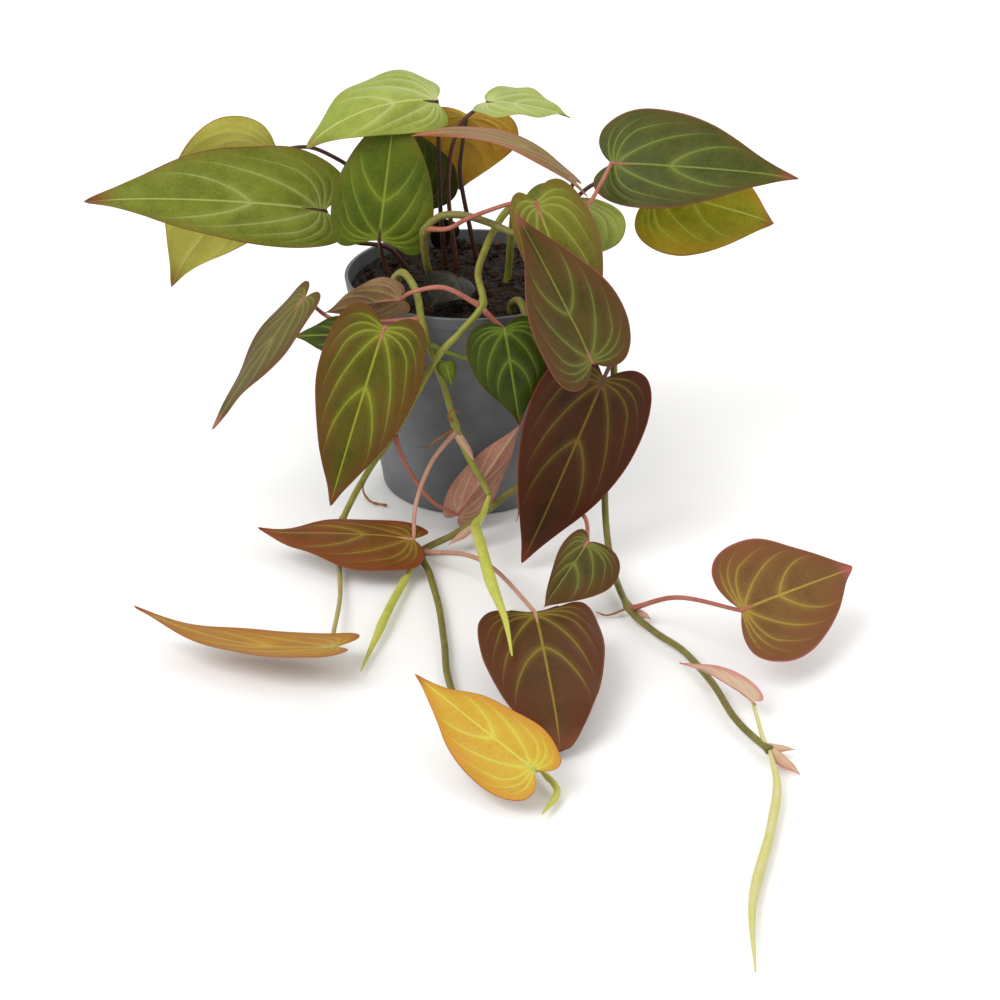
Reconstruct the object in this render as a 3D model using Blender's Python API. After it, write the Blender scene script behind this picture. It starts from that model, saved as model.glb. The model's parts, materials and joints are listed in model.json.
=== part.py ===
"""Potted heart-leaf philodendron in a plain nursery pot, as separate solids.

Units are millimetres in the tables and metres in the scene. +Z is up and the
plant's front faces -Y. The origin is the centre of the pot's foot on the floor.
Four vines rise from the soil and hang over the rim at the front, and two of
them run on along the floor. Every leaf is one blade grown on its own petiole.
"""

import math
from dataclasses import dataclass

import bmesh
import bpy
import numpy as np
from mathutils import Matrix

MM = 0.001
WELD_DISTANCE = 0.01

# Pot: a thin tapered wall, a thicker lip and a flat foot with drain holes
POT_HEIGHT = 110.0
RIM_RADIUS = 60.0
FOOT_RADIUS = 44.0
WALL = 1.4
LIP_HEIGHT = 6.0
LIP_STEP = 0.5
LIP_ROUNDING = 0.5
FLOOR_THICKNESS = 2.2
FOOT_CHAMFER = 1.2
POT_STEPS = 48
DRAIN_COUNT = 6
DRAIN_RADIUS = 4.0
DRAIN_CIRCLE = 27.0
DRAIN_SEGMENTS = 12

# Soil: fills the pot to just under the rim
SOIL_BELOW_RIM = 6.4
SOIL_GAP = 0.3
SOIL_DOME = 1.2
SOIL_SHOULDER = 0.6
SOIL_SHOULDER_RISE = 0.7
ROOTING_GAP = 0.5

# The plant is drawn round a pot of this size, and moves with the pot
DRAWN_RIM_RADIUS = 60.0
DRAWN_HEIGHT = 110.0

# Leaves
BLADE_THICKNESS = 0.6
BLADE_ROWS = 10
BLADE_COLUMNS = 4
PETIOLE_RADIUS = 1.1
PETIOLE_FOOT = 1.15
PETIOLE_TOP = 0.8
PETIOLE_INTO_BLADE = 0.9
PETIOLE_SAMPLES = 2
SCALE_THICKNESS = 0.5
SCALE_ROWS = 5
SCALE_COLUMNS = 2

# Stems and shoots
VINE_RADIUS = 1.85
VINE_END_TAPER = 0.78
NODE_GAP = 0.4
SHEATH_GAP = 0.75
SEATING_PASSES = 8
CURVE_SAMPLES = 3
ROOT_TIP = 0.6
CHIP_WIDTH = 0.55

# Thickness of a rolled leaf: share of its length, share of its greatest radius
SHOOT_SHARES = (0.0, 0.2, 0.65, 1.0)
SHOOT_FULLNESS = (0.35, 0.9, 1.0, 0.15)

# Half outline of the heart-shaped blade: share of length, share of half width
HEART = (
    (0.00, 0.00), (-0.055, 0.17), (-0.085, 0.40), (-0.065, 0.66),
    (0.02, 0.88), (0.16, 1.00), (0.33, 0.97), (0.50, 0.79),
    (0.65, 0.55), (0.78, 0.31), (0.89, 0.125), (1.00, 0.00),
)
OUTLINE_SAMPLES = 36
ACROSS_WEIGHT = 0.35

# Where a blade's rows leave the midrib, and how they curve out to the edge
SINUS_REACH = 1.25
SINUS_START = 0.25
ROW_CURVE = 1.6

# The midrib's curve: shares of its length, with a stretch behind the petiole
BEHIND_PETIOLE = -0.2
MIDRIB_STATIONS = 121
MIDRIB_PASSES = 5
DROOP_START = 0.72
DROOP_EASE = 1.3


@dataclass(frozen=True)
class Finish:
    """A plain colour and roughness that tell a piece apart."""

    colour: tuple
    roughness: float


@dataclass(frozen=True)
class Leaf:
    """One leaf or scale: where its blade starts and ends, and how it bends."""

    base: tuple
    tip: tuple
    faces: tuple
    width: float
    petiole: tuple = ()
    petiole_radius: float = PETIOLE_RADIUS
    rooted: bool = False
    arch: float = 0.0
    droop: float = 0.0
    left_fold: float = 0.0
    right_fold: float = 0.0
    cup: float = 0.0
    fullness: float = 1.0
    left_share: float = 1.0
    right_share: float = 1.0


POT = Finish((0.115, 0.125, 0.13), 0.6)
SOIL = Finish((0.02, 0.014, 0.01), 0.95)
STEM = Finish((0.32, 0.30, 0.10), 0.45)
SHOOT = Finish((0.72, 0.66, 0.22), 0.45)
ROOT = Finish((0.45, 0.28, 0.14), 0.6)
BARK = Finish((0.16, 0.08, 0.045), 0.8)
LIGHT_GREEN = Finish((0.22, 0.33, 0.08), 0.45)
GREEN = Finish((0.10, 0.17, 0.045), 0.45)
DARK_GREEN = Finish((0.045, 0.075, 0.025), 0.45)
YELLOW_GREEN = Finish((0.30, 0.32, 0.06), 0.45)
OLIVE = Finish((0.14, 0.11, 0.05), 0.45)
ORANGE = Finish((0.40, 0.20, 0.06), 0.45)
RED_BROWN = Finish((0.18, 0.06, 0.03), 0.45)
COPPER = Finish((0.11, 0.035, 0.025), 0.45)
PINK = Finish((0.45, 0.22, 0.18), 0.45)
SHEATH = Finish((0.70, 0.35, 0.28), 0.5)

# Each leaf with its finish: places in millimetres, bends in degrees
LEAVES = {
    "leaf_far_left": (
        Leaf(base=(-68, 0, 141), tip=(-178, -20, 152), faces=(0.1, -0.72, 0.68), width=60,
             petiole=((-30, 20, 0), (-40, 17, 116), (-56, 9, 122), (-65, 4, 131)), rooted=True,
             arch=25, droop=10, left_fold=-8, right_fold=6, cup=10, fullness=0.85, left_share=0.66),
        GREEN,
    ),
    "leaf_left_back": (
        Leaf(base=(-92, 25, 163), tip=(-147, 15, 96), faces=(-0.2, 0.9, 0.3), width=70,
             petiole=((-34, 32, 0), (-44, 34, 138), (-72, 27, 162)), rooted=True,
             arch=20, droop=30, cup=15, fullness=0.85, left_share=1.15, right_share=0.8),
        YELLOW_GREEN,
    ),
    "leaf_top_arch": (
        Leaf(base=(-14, 4, 193), tip=(-74, -14, 176), faces=(0, -0.35, 0.93), width=60,
             petiole=((-12, 20, 0), (-14, 16, 140), (-14, 10, 168)), rooted=True,
             arch=60, droop=10, left_fold=-40, right_fold=4, cup=14, fullness=0.7,
             left_share=0.5, right_share=0.85),
        LIGHT_GREEN,
    ),
    "leaf_upright": (
        Leaf(base=(-42, -16, 132), tip=(-34, -1, 188), faces=(0, -1, 0.25), width=48,
             petiole=((-34, -6, 0), (-40, -10, 118)), rooted=True,
             arch=26, left_fold=6, right_fold=6, cup=12, fullness=0.5),
        GREEN,
    ),
    "leaf_upright_back": (
        Leaf(base=(-28, 24, 134), tip=(-33, 18, 180), faces=(0.2, -0.95, 0.3), width=50,
             petiole=((-22, 34, 0),), rooted=True,
             arch=10, cup=10, fullness=0.85),
        DARK_GREEN,
    ),
    "leaf_back": (
        Leaf(base=(-1, 33, 178), tip=(-5, 38, 138), faces=(0, 0.95, 0.3), width=52,
             petiole=((4, 28, 0), (-4, 28, 146), (-3, 28, 165)), rooted=True,
             arch=10, cup=15, fullness=0.9),
        ORANGE,
    ),
    "leaf_top_right": (
        Leaf(base=(9, 16, 189), tip=(48, 4, 185), faces=(0, -0.1, 1), width=40,
             petiole=((-6, 16, 0), (-10, 15, 150), (-4, 14, 178)), rooted=True,
             arch=24, left_fold=8, right_fold=8, cup=12),
        LIGHT_GREEN,
    ),
    "leaf_edge_on": (
        Leaf(base=(49, -26, 165), tip=(-25, -40, 190), faces=(0, -0.05, 1), width=30,
             petiole=((40, -52, 149), (44, -46, 158)),
             arch=56, left_fold=2, right_fold=2, cup=6, fullness=0.8),
        RED_BROWN,
    ),
    "leaf_right_large": (
        Leaf(base=(67, -5, 166), tip=(153, -20, 163), faces=(0, -0.75, 0.66), width=60,
             petiole=((23, -24, 151), (28, -32, 156), (40, -41, 155), (54, -36, 156), (62, -20, 162)),
             arch=14, droop=12, left_fold=4, cup=12, left_share=0.96, right_share=0.7),
        DARK_GREEN,
    ),
    "leaf_right_lower": (
        Leaf(base=(89, 14, 147), tip=(147, 10, 131), faces=(0, -0.8, 0.6), width=58,
             petiole=((34, 14, 0), (42, 10, 128), (55, 8, 148), (71, 12, 153)), rooted=True,
             arch=10, droop=10, cup=12, fullness=0.75),
        YELLOW_GREEN,
    ),
    "leaf_right_mid": (
        Leaf(base=(48, -26, 156), tip=(35, -15, 114), faces=(0.1, -0.85, 0.5), width=58,
             petiole=((44, -47, 148), (46, -36, 150)),
             arch=10, cup=12, right_share=0.7),
        LIGHT_GREEN,
    ),
    "leaf_front_green": (
        Leaf(base=(31, -57, 165), tip=(60, -70, 88), faces=(0.1, -0.9, 0.35), width=44,
             petiole=((-18, -30, 140), (-9, -33, 144), (-1, -35, 149), (10, -42, 156), (22, -51, 163)),
             arch=15, cup=14, right_share=0.66),
        GREEN,
    ),
    "leaf_front_brown": (
        Leaf(base=(56, -90, 102), tip=(21, -76, 168), faces=(0.4, -0.85, 0.3), width=52,
             petiole=((64, -68, 99), (60, -79, 98)),
             arch=15, left_fold=24, right_fold=14, cup=5, right_share=0.9),
        OLIVE,
    ),
    "leaf_front_copper": (
        Leaf(base=(62, -82, 91), tip=(25, -98, 4), faces=(0.1, -0.95, 0.3), width=54,
             petiole=((66, -69, 93),),
             arch=10, droop=14, left_fold=6, right_fold=6, cup=10, fullness=0.85),
        COPPER,
    ),
    "leaf_fold_small": (
        Leaf(base=(39, -66, 97), tip=(27, -71, 68), faces=(0.9, -0.4, 0.1), width=26,
             petiole=((9, -66, 117), (20, -66, 105), (30, -66, 100)),
             arch=10, left_fold=30, right_fold=30),
        OLIVE,
    ),
    "leaf_pale_underside": (
        Leaf(base=(-5, -66, 12), tip=(26, -64, 61), faces=(0.15, 0.9, 0), width=23,
             petiole=((-33, -70, 54), (-29, -72, 42), (-18, -71, 23)),
             arch=10, left_fold=30, right_fold=30),
        PINK,
    ),
    "leaf_front_centre": (
        Leaf(base=(17, -77, 113), tip=(24, -82, 67), faces=(0.1, -0.95, 0.3), width=38,
             petiole=((-14, -66, 100), (-7, -65, 95), (4, -66, 93), (15, -72, 97), (19, -76, 106)),
             arch=10, cup=15),
        GREEN,
    ),
    "leaf_small_bit": (
        Leaf(base=(-10, -68, 92), tip=(-7, -69, 81), faces=(0, -1, 0.3), width=9,
             petiole=((-14, -65, 92),),
             petiole_radius=0.7, arch=10, cup=15),
        OLIVE,
    ),
    "leaf_front_left": (
        Leaf(base=(-37, -76, 113), tip=(-64, -86, 27), faces=(-0.1, -0.95, 0.3), width=47,
             petiole=((-23, -70, 109),),
             arch=15, left_fold=8, right_fold=8, cup=12, fullness=0.85),
        GREEN,
    ),
    "leaf_left_hanging": (
        Leaf(base=(-76, -40, 113), tip=(-120, -60, 54), faces=(-0.85, -0.35, 0.4), width=36,
             petiole=((-26, -64, 111), (-42, -60, 109), (-62, -50, 106)),
             arch=10, cup=6),
        OLIVE,
    ),
    "leaf_pale_small": (
        Leaf(base=(-30, -62, 121), tip=(-65, -62, 114), faces=(0, 0.9, 0.4), width=26,
             petiole=((4, -66, 121), (-10, -66, 128), (-24, -66, 126)),
             arch=20, left_fold=10, right_fold=10, cup=10),
        PINK,
    ),
    "leaf_left_small": (
        Leaf(base=(-48, -68, 106), tip=(-78, -68, 105), faces=(0, -0.6, 0.8), width=22,
             petiole=((-34, -67, 62), (-42, -66, 90)),
             arch=10, cup=10, fullness=0.8),
        LIGHT_GREEN,
    ),
    "leaf_dark_in_pot": (
        Leaf(base=(-6, -22, 116), tip=(-17, -56, 114), faces=(0.2, -0.3, 0.9), width=24,
             petiole=((-2, -12, 0),), rooted=True,
             arch=10, cup=10),
        DARK_GREEN,
    ),
    "leaf_dark_back": (
        Leaf(base=(-10, 38, 112), tip=(-20, 34, 126), faces=(0, -0.9, 0.4), width=16,
             petiole=((-8, 40, 0),), rooted=True,
             petiole_radius=0.7, arch=10, cup=10),
        DARK_GREEN,
    ),
    "leaf_low_left": (
        Leaf(base=(-25, -95, 15), tip=(-98, -89, 17), faces=(0, -0.25, 0.97), width=46,
             petiole=((-9, -69, 56), (-17, -74, 44), (-24, -84, 28)),
             arch=16, droop=-25, left_fold=2, cup=8, fullness=0.9, right_share=0.5),
        RED_BROWN,
    ),
    "leaf_low_edge": (
        Leaf(base=(-54, -190, 16), tip=(-143, -166, 21), faces=(0, 0.2, 1), width=32,
             petiole=((-60, -92, 4), (-57, -130, 5), (-57, -172, 9)),
             arch=-34, left_fold=4, right_fold=4, fullness=0.85),
        ORANGE,
    ),
    "leaf_low_front": (
        Leaf(base=(28, -279, 16), tip=(-19, -231, 28), faces=(-0.4, -0.5, 0.75), width=52,
             petiole=((31, -266, 9),),
             arch=15, left_fold=6, right_fold=-20, cup=10, left_share=0.68, right_share=0.62),
        ORANGE,
    ),
    "leaf_low_copper": (
        Leaf(base=(30, -176, 24), tip=(39, -250, 4), faces=(0, -0.4, 0.9), width=52,
             petiole=((-17, -93, 8), (0, -112, 16), (14, -138, 22)),
             arch=22, droop=40, left_fold=2, right_fold=2, cup=12, fullness=0.45),
        COPPER,
    ),
    "leaf_low_small": (
        Leaf(base=(54, -130, 33), tip=(34, -154, 13), faces=(0.4, -0.5, 0.75), width=40,
             petiole=((30, -64, 30), (44, -72, 26), (54, -94, 26)),
             arch=20, droop=-60, left_fold=10, right_fold=10, cup=10, right_share=0.45),
        COPPER,
    ),
    "leaf_low_right": (
        Leaf(base=(116, -186, 31), tip=(170, -143, 27), faces=(-0.1, -0.75, 0.65), width=56,
             petiole=((74, -141, 10), (92, -160, 22)),
             arch=14, droop=-8, left_fold=6, right_fold=6, cup=12, fullness=0.85),
        OLIVE,
    ),
    "leaf_young_right": (
        Leaf(base=(118, -222, 10), tip=(90, -197, 12), faces=(-0.3, 0.2, 1), width=12,
             petiole=((122, -246, 9),),
             petiole_radius=0.9, arch=30, left_fold=40, right_fold=40),
        PINK,
    ),
}

# Sheaths at the nodes
SCALES = {
    "cataphyll_middle": (
        Leaf(base=(-6, -71, 55), tip=(2, -73, 42), faces=(0, -1, 0.3), width=8,
             cup=120),
        SHEATH,
    ),
    "cataphyll_curl": (
        Leaf(base=(24, -67, 34), tip=(32, -74, 26), faces=(0, -1, 0.4), width=9,
             arch=60, cup=140),
        SHEATH,
    ),
    "cataphyll_low": (
        Leaf(base=(-25, -91, 4), tip=(-37, -100, 3), faces=(0, -0.3, 1), width=9,
             arch=20, cup=90),
        SHEATH,
    ),
    "cataphyll_red": (
        Leaf(base=(27, -66, 107), tip=(43, -72, 101), faces=(0, -0.9, 0.4), width=5,
             cup=90),
        SHEATH,
    ),
    "cataphyll_pink": (
        Leaf(base=(6, -84, 13), tip=(-6, -96, 8), faces=(0, -0.5, 0.9), width=6,
             cup=90),
        SHEATH,
    ),
    "cataphyll_right": (
        Leaf(base=(78, -138, 4), tip=(86, -148, 4), faces=(0, -0.5, 0.9), width=7,
             cup=90),
        SHEATH,
    ),
    "cataphyll_tip_a": (
        Leaf(base=(130, -252, 6), tip=(139, -266, 4), faces=(0, -0.4, 0.9), width=7,
             cup=80),
        SHEATH,
    ),
    "cataphyll_tip_b": (
        Leaf(base=(126, -246, 9), tip=(136, -249, 9), faces=(0, -0.4, 0.9), width=4,
             cup=60),
        SHEATH,
    ),
}

# Vines, each from the soil outward, with the places of its swollen nodes
NODE_SWELLING = 1.35
STEMS = {
    "stem_left": (
        (
            (18, 2, 0), (19, 0, 110), (20, -8, 128), (21, -18, 148), (15, -24, 145), (8, -37, 135),
            (5, -50, 128), (7, -64, 119), (-3, -70, 108), (-14, -73, 96), (-33, -67, 58),
            (-48, -66, 34), (-60, -73, 12), (-61, -86, 4),
        ),
        (3, 7, 12),
    ),
    "stem_middle": (
        (
            (-30, -32, 0), (-31, -35, 112), (-33, -40, 122), (-29, -48, 128), (-23, -57, 122),
            (-20, -64, 107), (-16, -63, 94), (-11, -62, 78), (-6, -65, 60), (-1, -67, 46),
            (6, -71, 34), (10, -76, 28),
        ),
        (2, 5, 8),
    ),
    "stem_right": (
        (
            (-17, -12, 0), (-18, -14, 112), (-20, -22, 126), (-20, -26, 140), (-14, -27, 147),
            (-8, -28, 149), (0, -30, 149), (10, -36, 148), (20, -43, 146), (30, -48, 145),
            (41, -52, 143), (53, -54, 136), (62, -57, 119), (67, -63, 95), (67, -66, 60),
            (64, -78, 30), (66, -104, 9), (72, -139, 5), (82, -158, 4), (94, -175, 4), (104, -200, 4),
            (110, -224, 4), (116, -238, 4), (122, -250, 5),
        ),
        (3, 10, 17, 23),
    ),
    "stem_front": (
        (
            (20, -38, 0), (20.5, -41, 110), (24, -50, 115), (27, -58, 111), (30, -58, 97),
            (32, -54, 75), (31, -55, 50), (27, -62, 30), (18, -68, 24), (7, -74, 17), (-6, -81, 10),
            (-21, -91, 6), (-17, -110, 4), (-12, -140, 4), (-9, -170, 4), (-7, -195, 4),
            (-1, -220, 4), (12, -243, 4), (30, -262, 5),
        ),
        (7, 11, 18),
    ),
}

# Leaves still rolled up: path and greatest radius
SHOOTS = {
    "rolled_leaf_pale": (
        (
            (10, -77, 27), (7, -88, 24), (4, -102, 26), (6, -128, 32), (11, -165, 33), (17, -190, 30),
            (20, -212, 25),
        ),
        2.6,
    ),
    "shoot_left": (
        (
            (-21, -97, 6), (-26, -106, 5), (-31, -126, 5), (-36, -150, 5), (-44, -190, 3.5),
        ),
        2,
    ),
    "shoot_front": (
        (
            (33, -267, 5), (37, -276, 4), (31, -291, 4),
        ),
        1.4,
    ),
    "shoot_long": (
        (
            (126, -257, 5), (122, -275, 5), (116, -302, 4), (108, -330, 4), (104, -350, 4),
            (102, -378, 3),
        ),
        2,
    ),
}

# Roots: path and radius
ROOTS = {
    "root_curl": (((-7, -69, 61), (-9, -71, 66), (-7, -72, 70), (-4, -71, 68)), 0.6),
    "root_middle": (((-9, -68, 57), (-15, -69, 53), (-18, -69, 50), (-23, -69, 49)), 0.7),
    "root_front": (((26, -60, 29), (23, -55, 20), (24, -55, 8), (23, -54, 2)), 0.5),
    "root_drain": (((-41, -36, 1.3), (-49, -33, 2), (-53, -26, 5), (-51, -20, 9)), 0.7),
    "root_right": (((69, -141, 3), (63, -142, 2.2), (58, -138, 1.5)), 0.6),
}

POT_ROOTS = ("root_drain",)

# Bark chips on the soil: x, y, length, thickness and turn
CHIPS = {
    "bark_chip_left": (-44, -6, 9, 3.0, 35),
    "bark_chip_back": (14, 48, 8, 2.4, 100),
    "bark_chip_right": (46, -18, 7, 2.6, 65),
}


def soil_top():
    """Height of the soil's edge above the floor."""
    return POT_HEIGHT - SOIL_BELOW_RIM


def drape(points):
    """Moves drawn points with the pot: out with its rim and up with its height."""
    points = np.array(points, dtype=float)
    radius = np.hypot(points[..., 0], points[..., 1])
    grown = RIM_RADIUS - DRAWN_RIM_RADIUS
    spread = 1.0 + grown * np.minimum(radius / DRAWN_RIM_RADIUS, 1.0) / np.maximum(radius, 1.0)
    points[..., 0] *= spread
    points[..., 1] *= spread
    height = points[..., 2]
    stretched = height * POT_HEIGHT / DRAWN_HEIGHT
    points[..., 2] = np.where(height < DRAWN_HEIGHT, stretched, height + POT_HEIGHT - DRAWN_HEIGHT)
    return points


def from_soil(points, radius):
    """A drawn path that starts just above the soil, by what its slanted foot needs."""
    path = drape(points)
    clear = soil_top() + SOIL_DOME + ROOTING_GAP
    lean = np.hypot(path[1, 0] - path[0, 0], path[1, 1] - path[0, 1])
    slant = lean / math.hypot(lean, path[1, 2] - clear)
    path[0, 2] = clear + radius * slant
    return path


def vine(points, nodes):
    """A vine's centre line and its radius at each point, swollen at its nodes."""
    path = smooth(from_soil(points, VINE_RADIUS), CURVE_SAMPLES)
    factors = np.linspace(1.0, VINE_END_TAPER, len(path))
    factors[[node * CURVE_SAMPLES for node in nodes]] *= NODE_SWELLING
    return path, VINE_RADIUS * factors


def nearest_vine(point):
    """The nearest place on a vine: centre, direction, radius and whether it is the tip."""
    found = []
    for points, nodes in STEMS.values():
        path, radii = vine(points, nodes)
        run = np.diff(path, axis=0)
        share = np.sum((point - path[:-1]) * run, axis=1) / np.sum(run**2, axis=1)
        share = np.clip(share, 0.0, 1.0)
        places = path[:-1] + share[:, None] * run
        away = np.linalg.norm(point - places, axis=1)
        index = int(np.argmin(away))
        along = run[index] / np.linalg.norm(run[index])
        is_tip = index == len(run) - 1 and share[index] == 1.0
        radius = radii[index : index + 2].max()
        found.append((away[index], places[index], along, radius, is_tip))
    return min(found, key=lambda place: place[0])[1:]


def from_vine(points, radius):
    """A drawn path that starts beside the nearest vine, by what its slanted foot needs."""
    path = drape(points)
    centre, along, vine_radius, is_tip = nearest_vine(path[0])
    leaving = (path[1] - centre) / np.linalg.norm(path[1] - centre)
    ahead = leaving @ along
    sideways = math.sqrt(1.0 - ahead**2)
    reach = (vine_radius + NODE_GAP + radius * abs(ahead)) / sideways
    if is_tip and ahead > 0:
        reach = min(reach, (NODE_GAP + radius * sideways) / ahead)
    path[0] = centre + reach * leaving
    return path


def clearance(points):
    """How far the nearest of some points is from the skin of any vine."""
    nearest = []
    for drawn, nodes in STEMS.values():
        path, radii = vine(drawn, nodes)
        run = np.diff(path, axis=0)
        offset = points[:, None] - path[:-1]
        share = np.clip((offset * run).sum(axis=-1) / (run**2).sum(axis=-1), 0.0, 1.0)
        away = np.linalg.norm(offset - share[..., None] * run, axis=-1)
        nearest.append((away - radii[:-1] - share * np.diff(radii)).min())
    return min(nearest)


def seated(leaf):
    """A sheath's two ends, slid in or out until its nearest edge just clears its vine."""
    ends = drape([leaf.base, leaf.tip])
    centre = nearest_vine(ends[0])[0]
    away = (ends[0] - centre) / np.linalg.norm(ends[0] - centre)
    x, y = blade_grid(leaf, SCALE_ROWS, SCALE_COLUMNS)
    for _ in range(SEATING_PASSES):
        outline_points = blade_points(leaf, ends, x, y).reshape(-1, 3)
        ends += (SHEATH_GAP - clearance(outline_points)) * away
    return ends


def smooth(points, samples):
    """A Catmull-Rom curve through the points, with this many samples in each span."""
    points = np.asarray(points, dtype=float)
    if len(points) == 2:
        return points
    padded = np.vstack([2 * points[0] - points[1], points, 2 * points[-1] - points[-2]])
    spans = len(points) - 1
    place = np.linspace(0, spans, spans * samples + 1)
    first = np.minimum(place.astype(int), spans - 1)
    t = (place - first)[:, None]
    a, b, c, d = (padded[first + step] for step in range(4))
    return 0.5 * (2 * b + (c - a) * t + (2 * a - 5 * b + 4 * c - d) * t**2 + (3 * b - a - 3 * c + d) * t**3)


def outline(rows, fullness):
    """Half outline of the blade at evenly spaced places along its edge."""
    fine = smooth(HEART, OUTLINE_SAMPLES)
    step = np.hypot(np.diff(fine[:, 0]), ACROSS_WEIGHT * np.diff(fine[:, 1]))
    run = np.concatenate([[0.0], np.cumsum(step)])
    even = np.linspace(0, run[-1], rows + 1)
    along = np.interp(even, run, fine[:, 0])
    across = np.maximum(np.interp(even, run, fine[:, 1]), 0.0)
    return along, across**fullness


def midrib(leaf):
    """The midrib's unit curve: stations, points and pitch, with its tip on +X."""
    stations = np.linspace(BEHIND_PETIOLE, 1.0, MIDRIB_STATIONS)
    inside = np.clip(stations, 0, 1)
    end = np.clip((inside - DROOP_START) / (1 - DROOP_START), 0, 1)
    pitch = math.radians(leaf.arch) * (0.5 - inside) - math.radians(leaf.droop) * end**DROOP_EASE
    step = stations[1] - stations[0]
    start = int(np.argmin(np.abs(stations)))
    for _ in range(MIDRIB_PASSES):
        run = np.stack([np.cos(pitch), np.sin(pitch)], axis=-1)
        curve = np.vstack([[0.0, 0.0], np.cumsum((run[1:] + run[:-1]) / 2, axis=0)]) * step
        curve -= curve[start]
        pitch = pitch - math.atan2(curve[-1, 1], curve[-1, 0])
    return stations, curve, pitch


def blade_points(leaf, ends, along, across):
    """Points of a blade between its two ends, for shares of its length and half width."""
    base, tip = ends
    chord = np.linalg.norm(tip - base)
    ahead = (tip - base) / chord
    normal = np.array(leaf.faces, dtype=float)
    normal -= ahead * (normal @ ahead)
    normal /= np.linalg.norm(normal)
    left = np.cross(normal, ahead)

    stations, curve, pitch = midrib(leaf)
    length = chord / np.linalg.norm(curve[-1])
    is_left = across > 0
    share = np.where(is_left, leaf.left_share, leaf.right_share)
    reach = np.abs(across) * share * leaf.width / 2
    fold = np.radians(np.where(is_left, leaf.left_fold, leaf.right_fold))
    half_bend = math.radians(leaf.cup) * np.abs(across) / 2
    arc = reach * np.sinc(half_bend / math.pi)
    out = np.sign(across) * arc * np.cos(fold - half_bend)
    rise = arc * np.sin(fold - half_bend)

    tilt = np.interp(along, stations, pitch)
    forward = np.interp(along, stations, curve[:, 0]) * length - rise * np.sin(tilt)
    upward = np.interp(along, stations, curve[:, 1]) * length + rise * np.cos(tilt)
    return base + forward[..., None] * ahead + out[..., None] * left + upward[..., None] * normal


def blade_grid(leaf, rows, columns):
    """Shares of length and half width at each row and column of the blade."""
    along, across = outline(rows, leaf.fullness)
    side = np.linspace(-1, 1, columns + 1)
    rib = np.maximum(0.0, SINUS_REACH * along - SINUS_START)
    x = rib[:, None] + (along - rib)[:, None] * np.abs(side) ** ROW_CURVE
    return x, across[:, None] * side


def place_object(name, data):
    """Links a new object at the origin and returns it."""
    made = bpy.data.objects.new(name, data)
    bpy.context.scene.collection.objects.link(made)
    return made


def shade_smooth(mesh):
    """Shades every face of a mesh smooth."""
    mesh.polygons.foreach_set("use_smooth", [True] * len(mesh.polygons))


def coat(made, finish):
    """Gives an object its own Principled material."""
    material = bpy.data.materials.new(made.name)
    material.use_nodes = True
    shader = material.node_tree.nodes["Principled BSDF"]
    shader.inputs["Base Color"].default_value = (*finish.colour, 1.0)
    shader.inputs["Roughness"].default_value = finish.roughness
    shader.inputs["Metallic"].default_value = 0.0
    made.data.materials.append(material)


def blade(name, leaf, ends, rows, columns, thickness):
    """A thin closed blade between two ends: a grid bent to shape, then thickened."""
    mesh = bpy.data.meshes.new(name)
    shape = bmesh.new()
    bmesh.ops.create_grid(shape, x_segments=rows, y_segments=columns, size=1.0)
    x, y = blade_grid(leaf, rows, columns)
    places = blade_points(leaf, ends, x, y) * MM
    for vert in shape.verts:
        row = round((vert.co.x + 1) / 2 * rows)
        column = round((vert.co.y + 1) / 2 * columns)
        vert.co = places[row, column]
    bmesh.ops.remove_doubles(shape, verts=shape.verts, dist=WELD_DISTANCE * MM)
    shape.to_mesh(mesh)
    shape.free()
    shade_smooth(mesh)
    made = place_object(name, mesh)
    solid = made.modifiers.new("thickness", "SOLIDIFY")
    solid.thickness = thickness * MM
    solid.offset = 0.0
    return made


def tube(name, path, radius, factors, resolution):
    """A round tube along a path, with closed ends and a radius factor a point."""
    data = bpy.data.curves.new(name, "CURVE")
    data.dimensions = "3D"
    data.bevel_depth = radius * MM
    data.bevel_resolution = resolution
    data.use_fill_caps = True
    spline = data.splines.new("POLY")
    spline.points.add(len(path) - 1)
    for point, place, factor in zip(spline.points, path, factors):
        point.co = (*(place * MM), 1.0)
        point.radius = factor
    return place_object(name, data)


def meshed(made):
    """The same tube as a mesh object, so that it can be joined to a blade."""
    graph = bpy.context.evaluated_depsgraph_get()
    mesh = bpy.data.meshes.new_from_object(made.evaluated_get(graph))
    name = made.name
    bpy.data.objects.remove(made)
    shape = bmesh.new()
    shape.from_mesh(mesh)
    bmesh.ops.remove_doubles(shape, verts=shape.verts, dist=WELD_DISTANCE * MM)
    bmesh.ops.recalc_face_normals(shape, faces=shape.faces)
    shape.to_mesh(mesh)
    shape.free()
    shade_smooth(mesh)
    return place_object(name, mesh)


def join(made, operand, operation="UNION"):
    """Joins or cuts an object with another, which stays in the scene as a cutter."""
    operand.hide_render = True
    operand.display_type = "WIRE"
    boolean = made.modifiers.new(operation.lower(), "BOOLEAN")
    boolean.operation = operation
    boolean.solver = "EXACT"
    boolean.object = operand


def petiole(name, leaf):
    """The leaf's stalk, from the soil or stem to just inside the blade."""
    start = from_soil if leaf.rooted else from_vine
    path = start([*leaf.petiole, leaf.base], PETIOLE_FOOT * leaf.petiole_radius)
    path = smooth(path, PETIOLE_SAMPLES)
    ending = path[-1] - path[-2]
    path[-1] += PETIOLE_INTO_BLADE * ending / np.linalg.norm(ending)
    factors = np.linspace(PETIOLE_FOOT, PETIOLE_TOP, len(path))
    return meshed(tube(name + "_stalk", path, leaf.petiole_radius, factors, 1))


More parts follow.
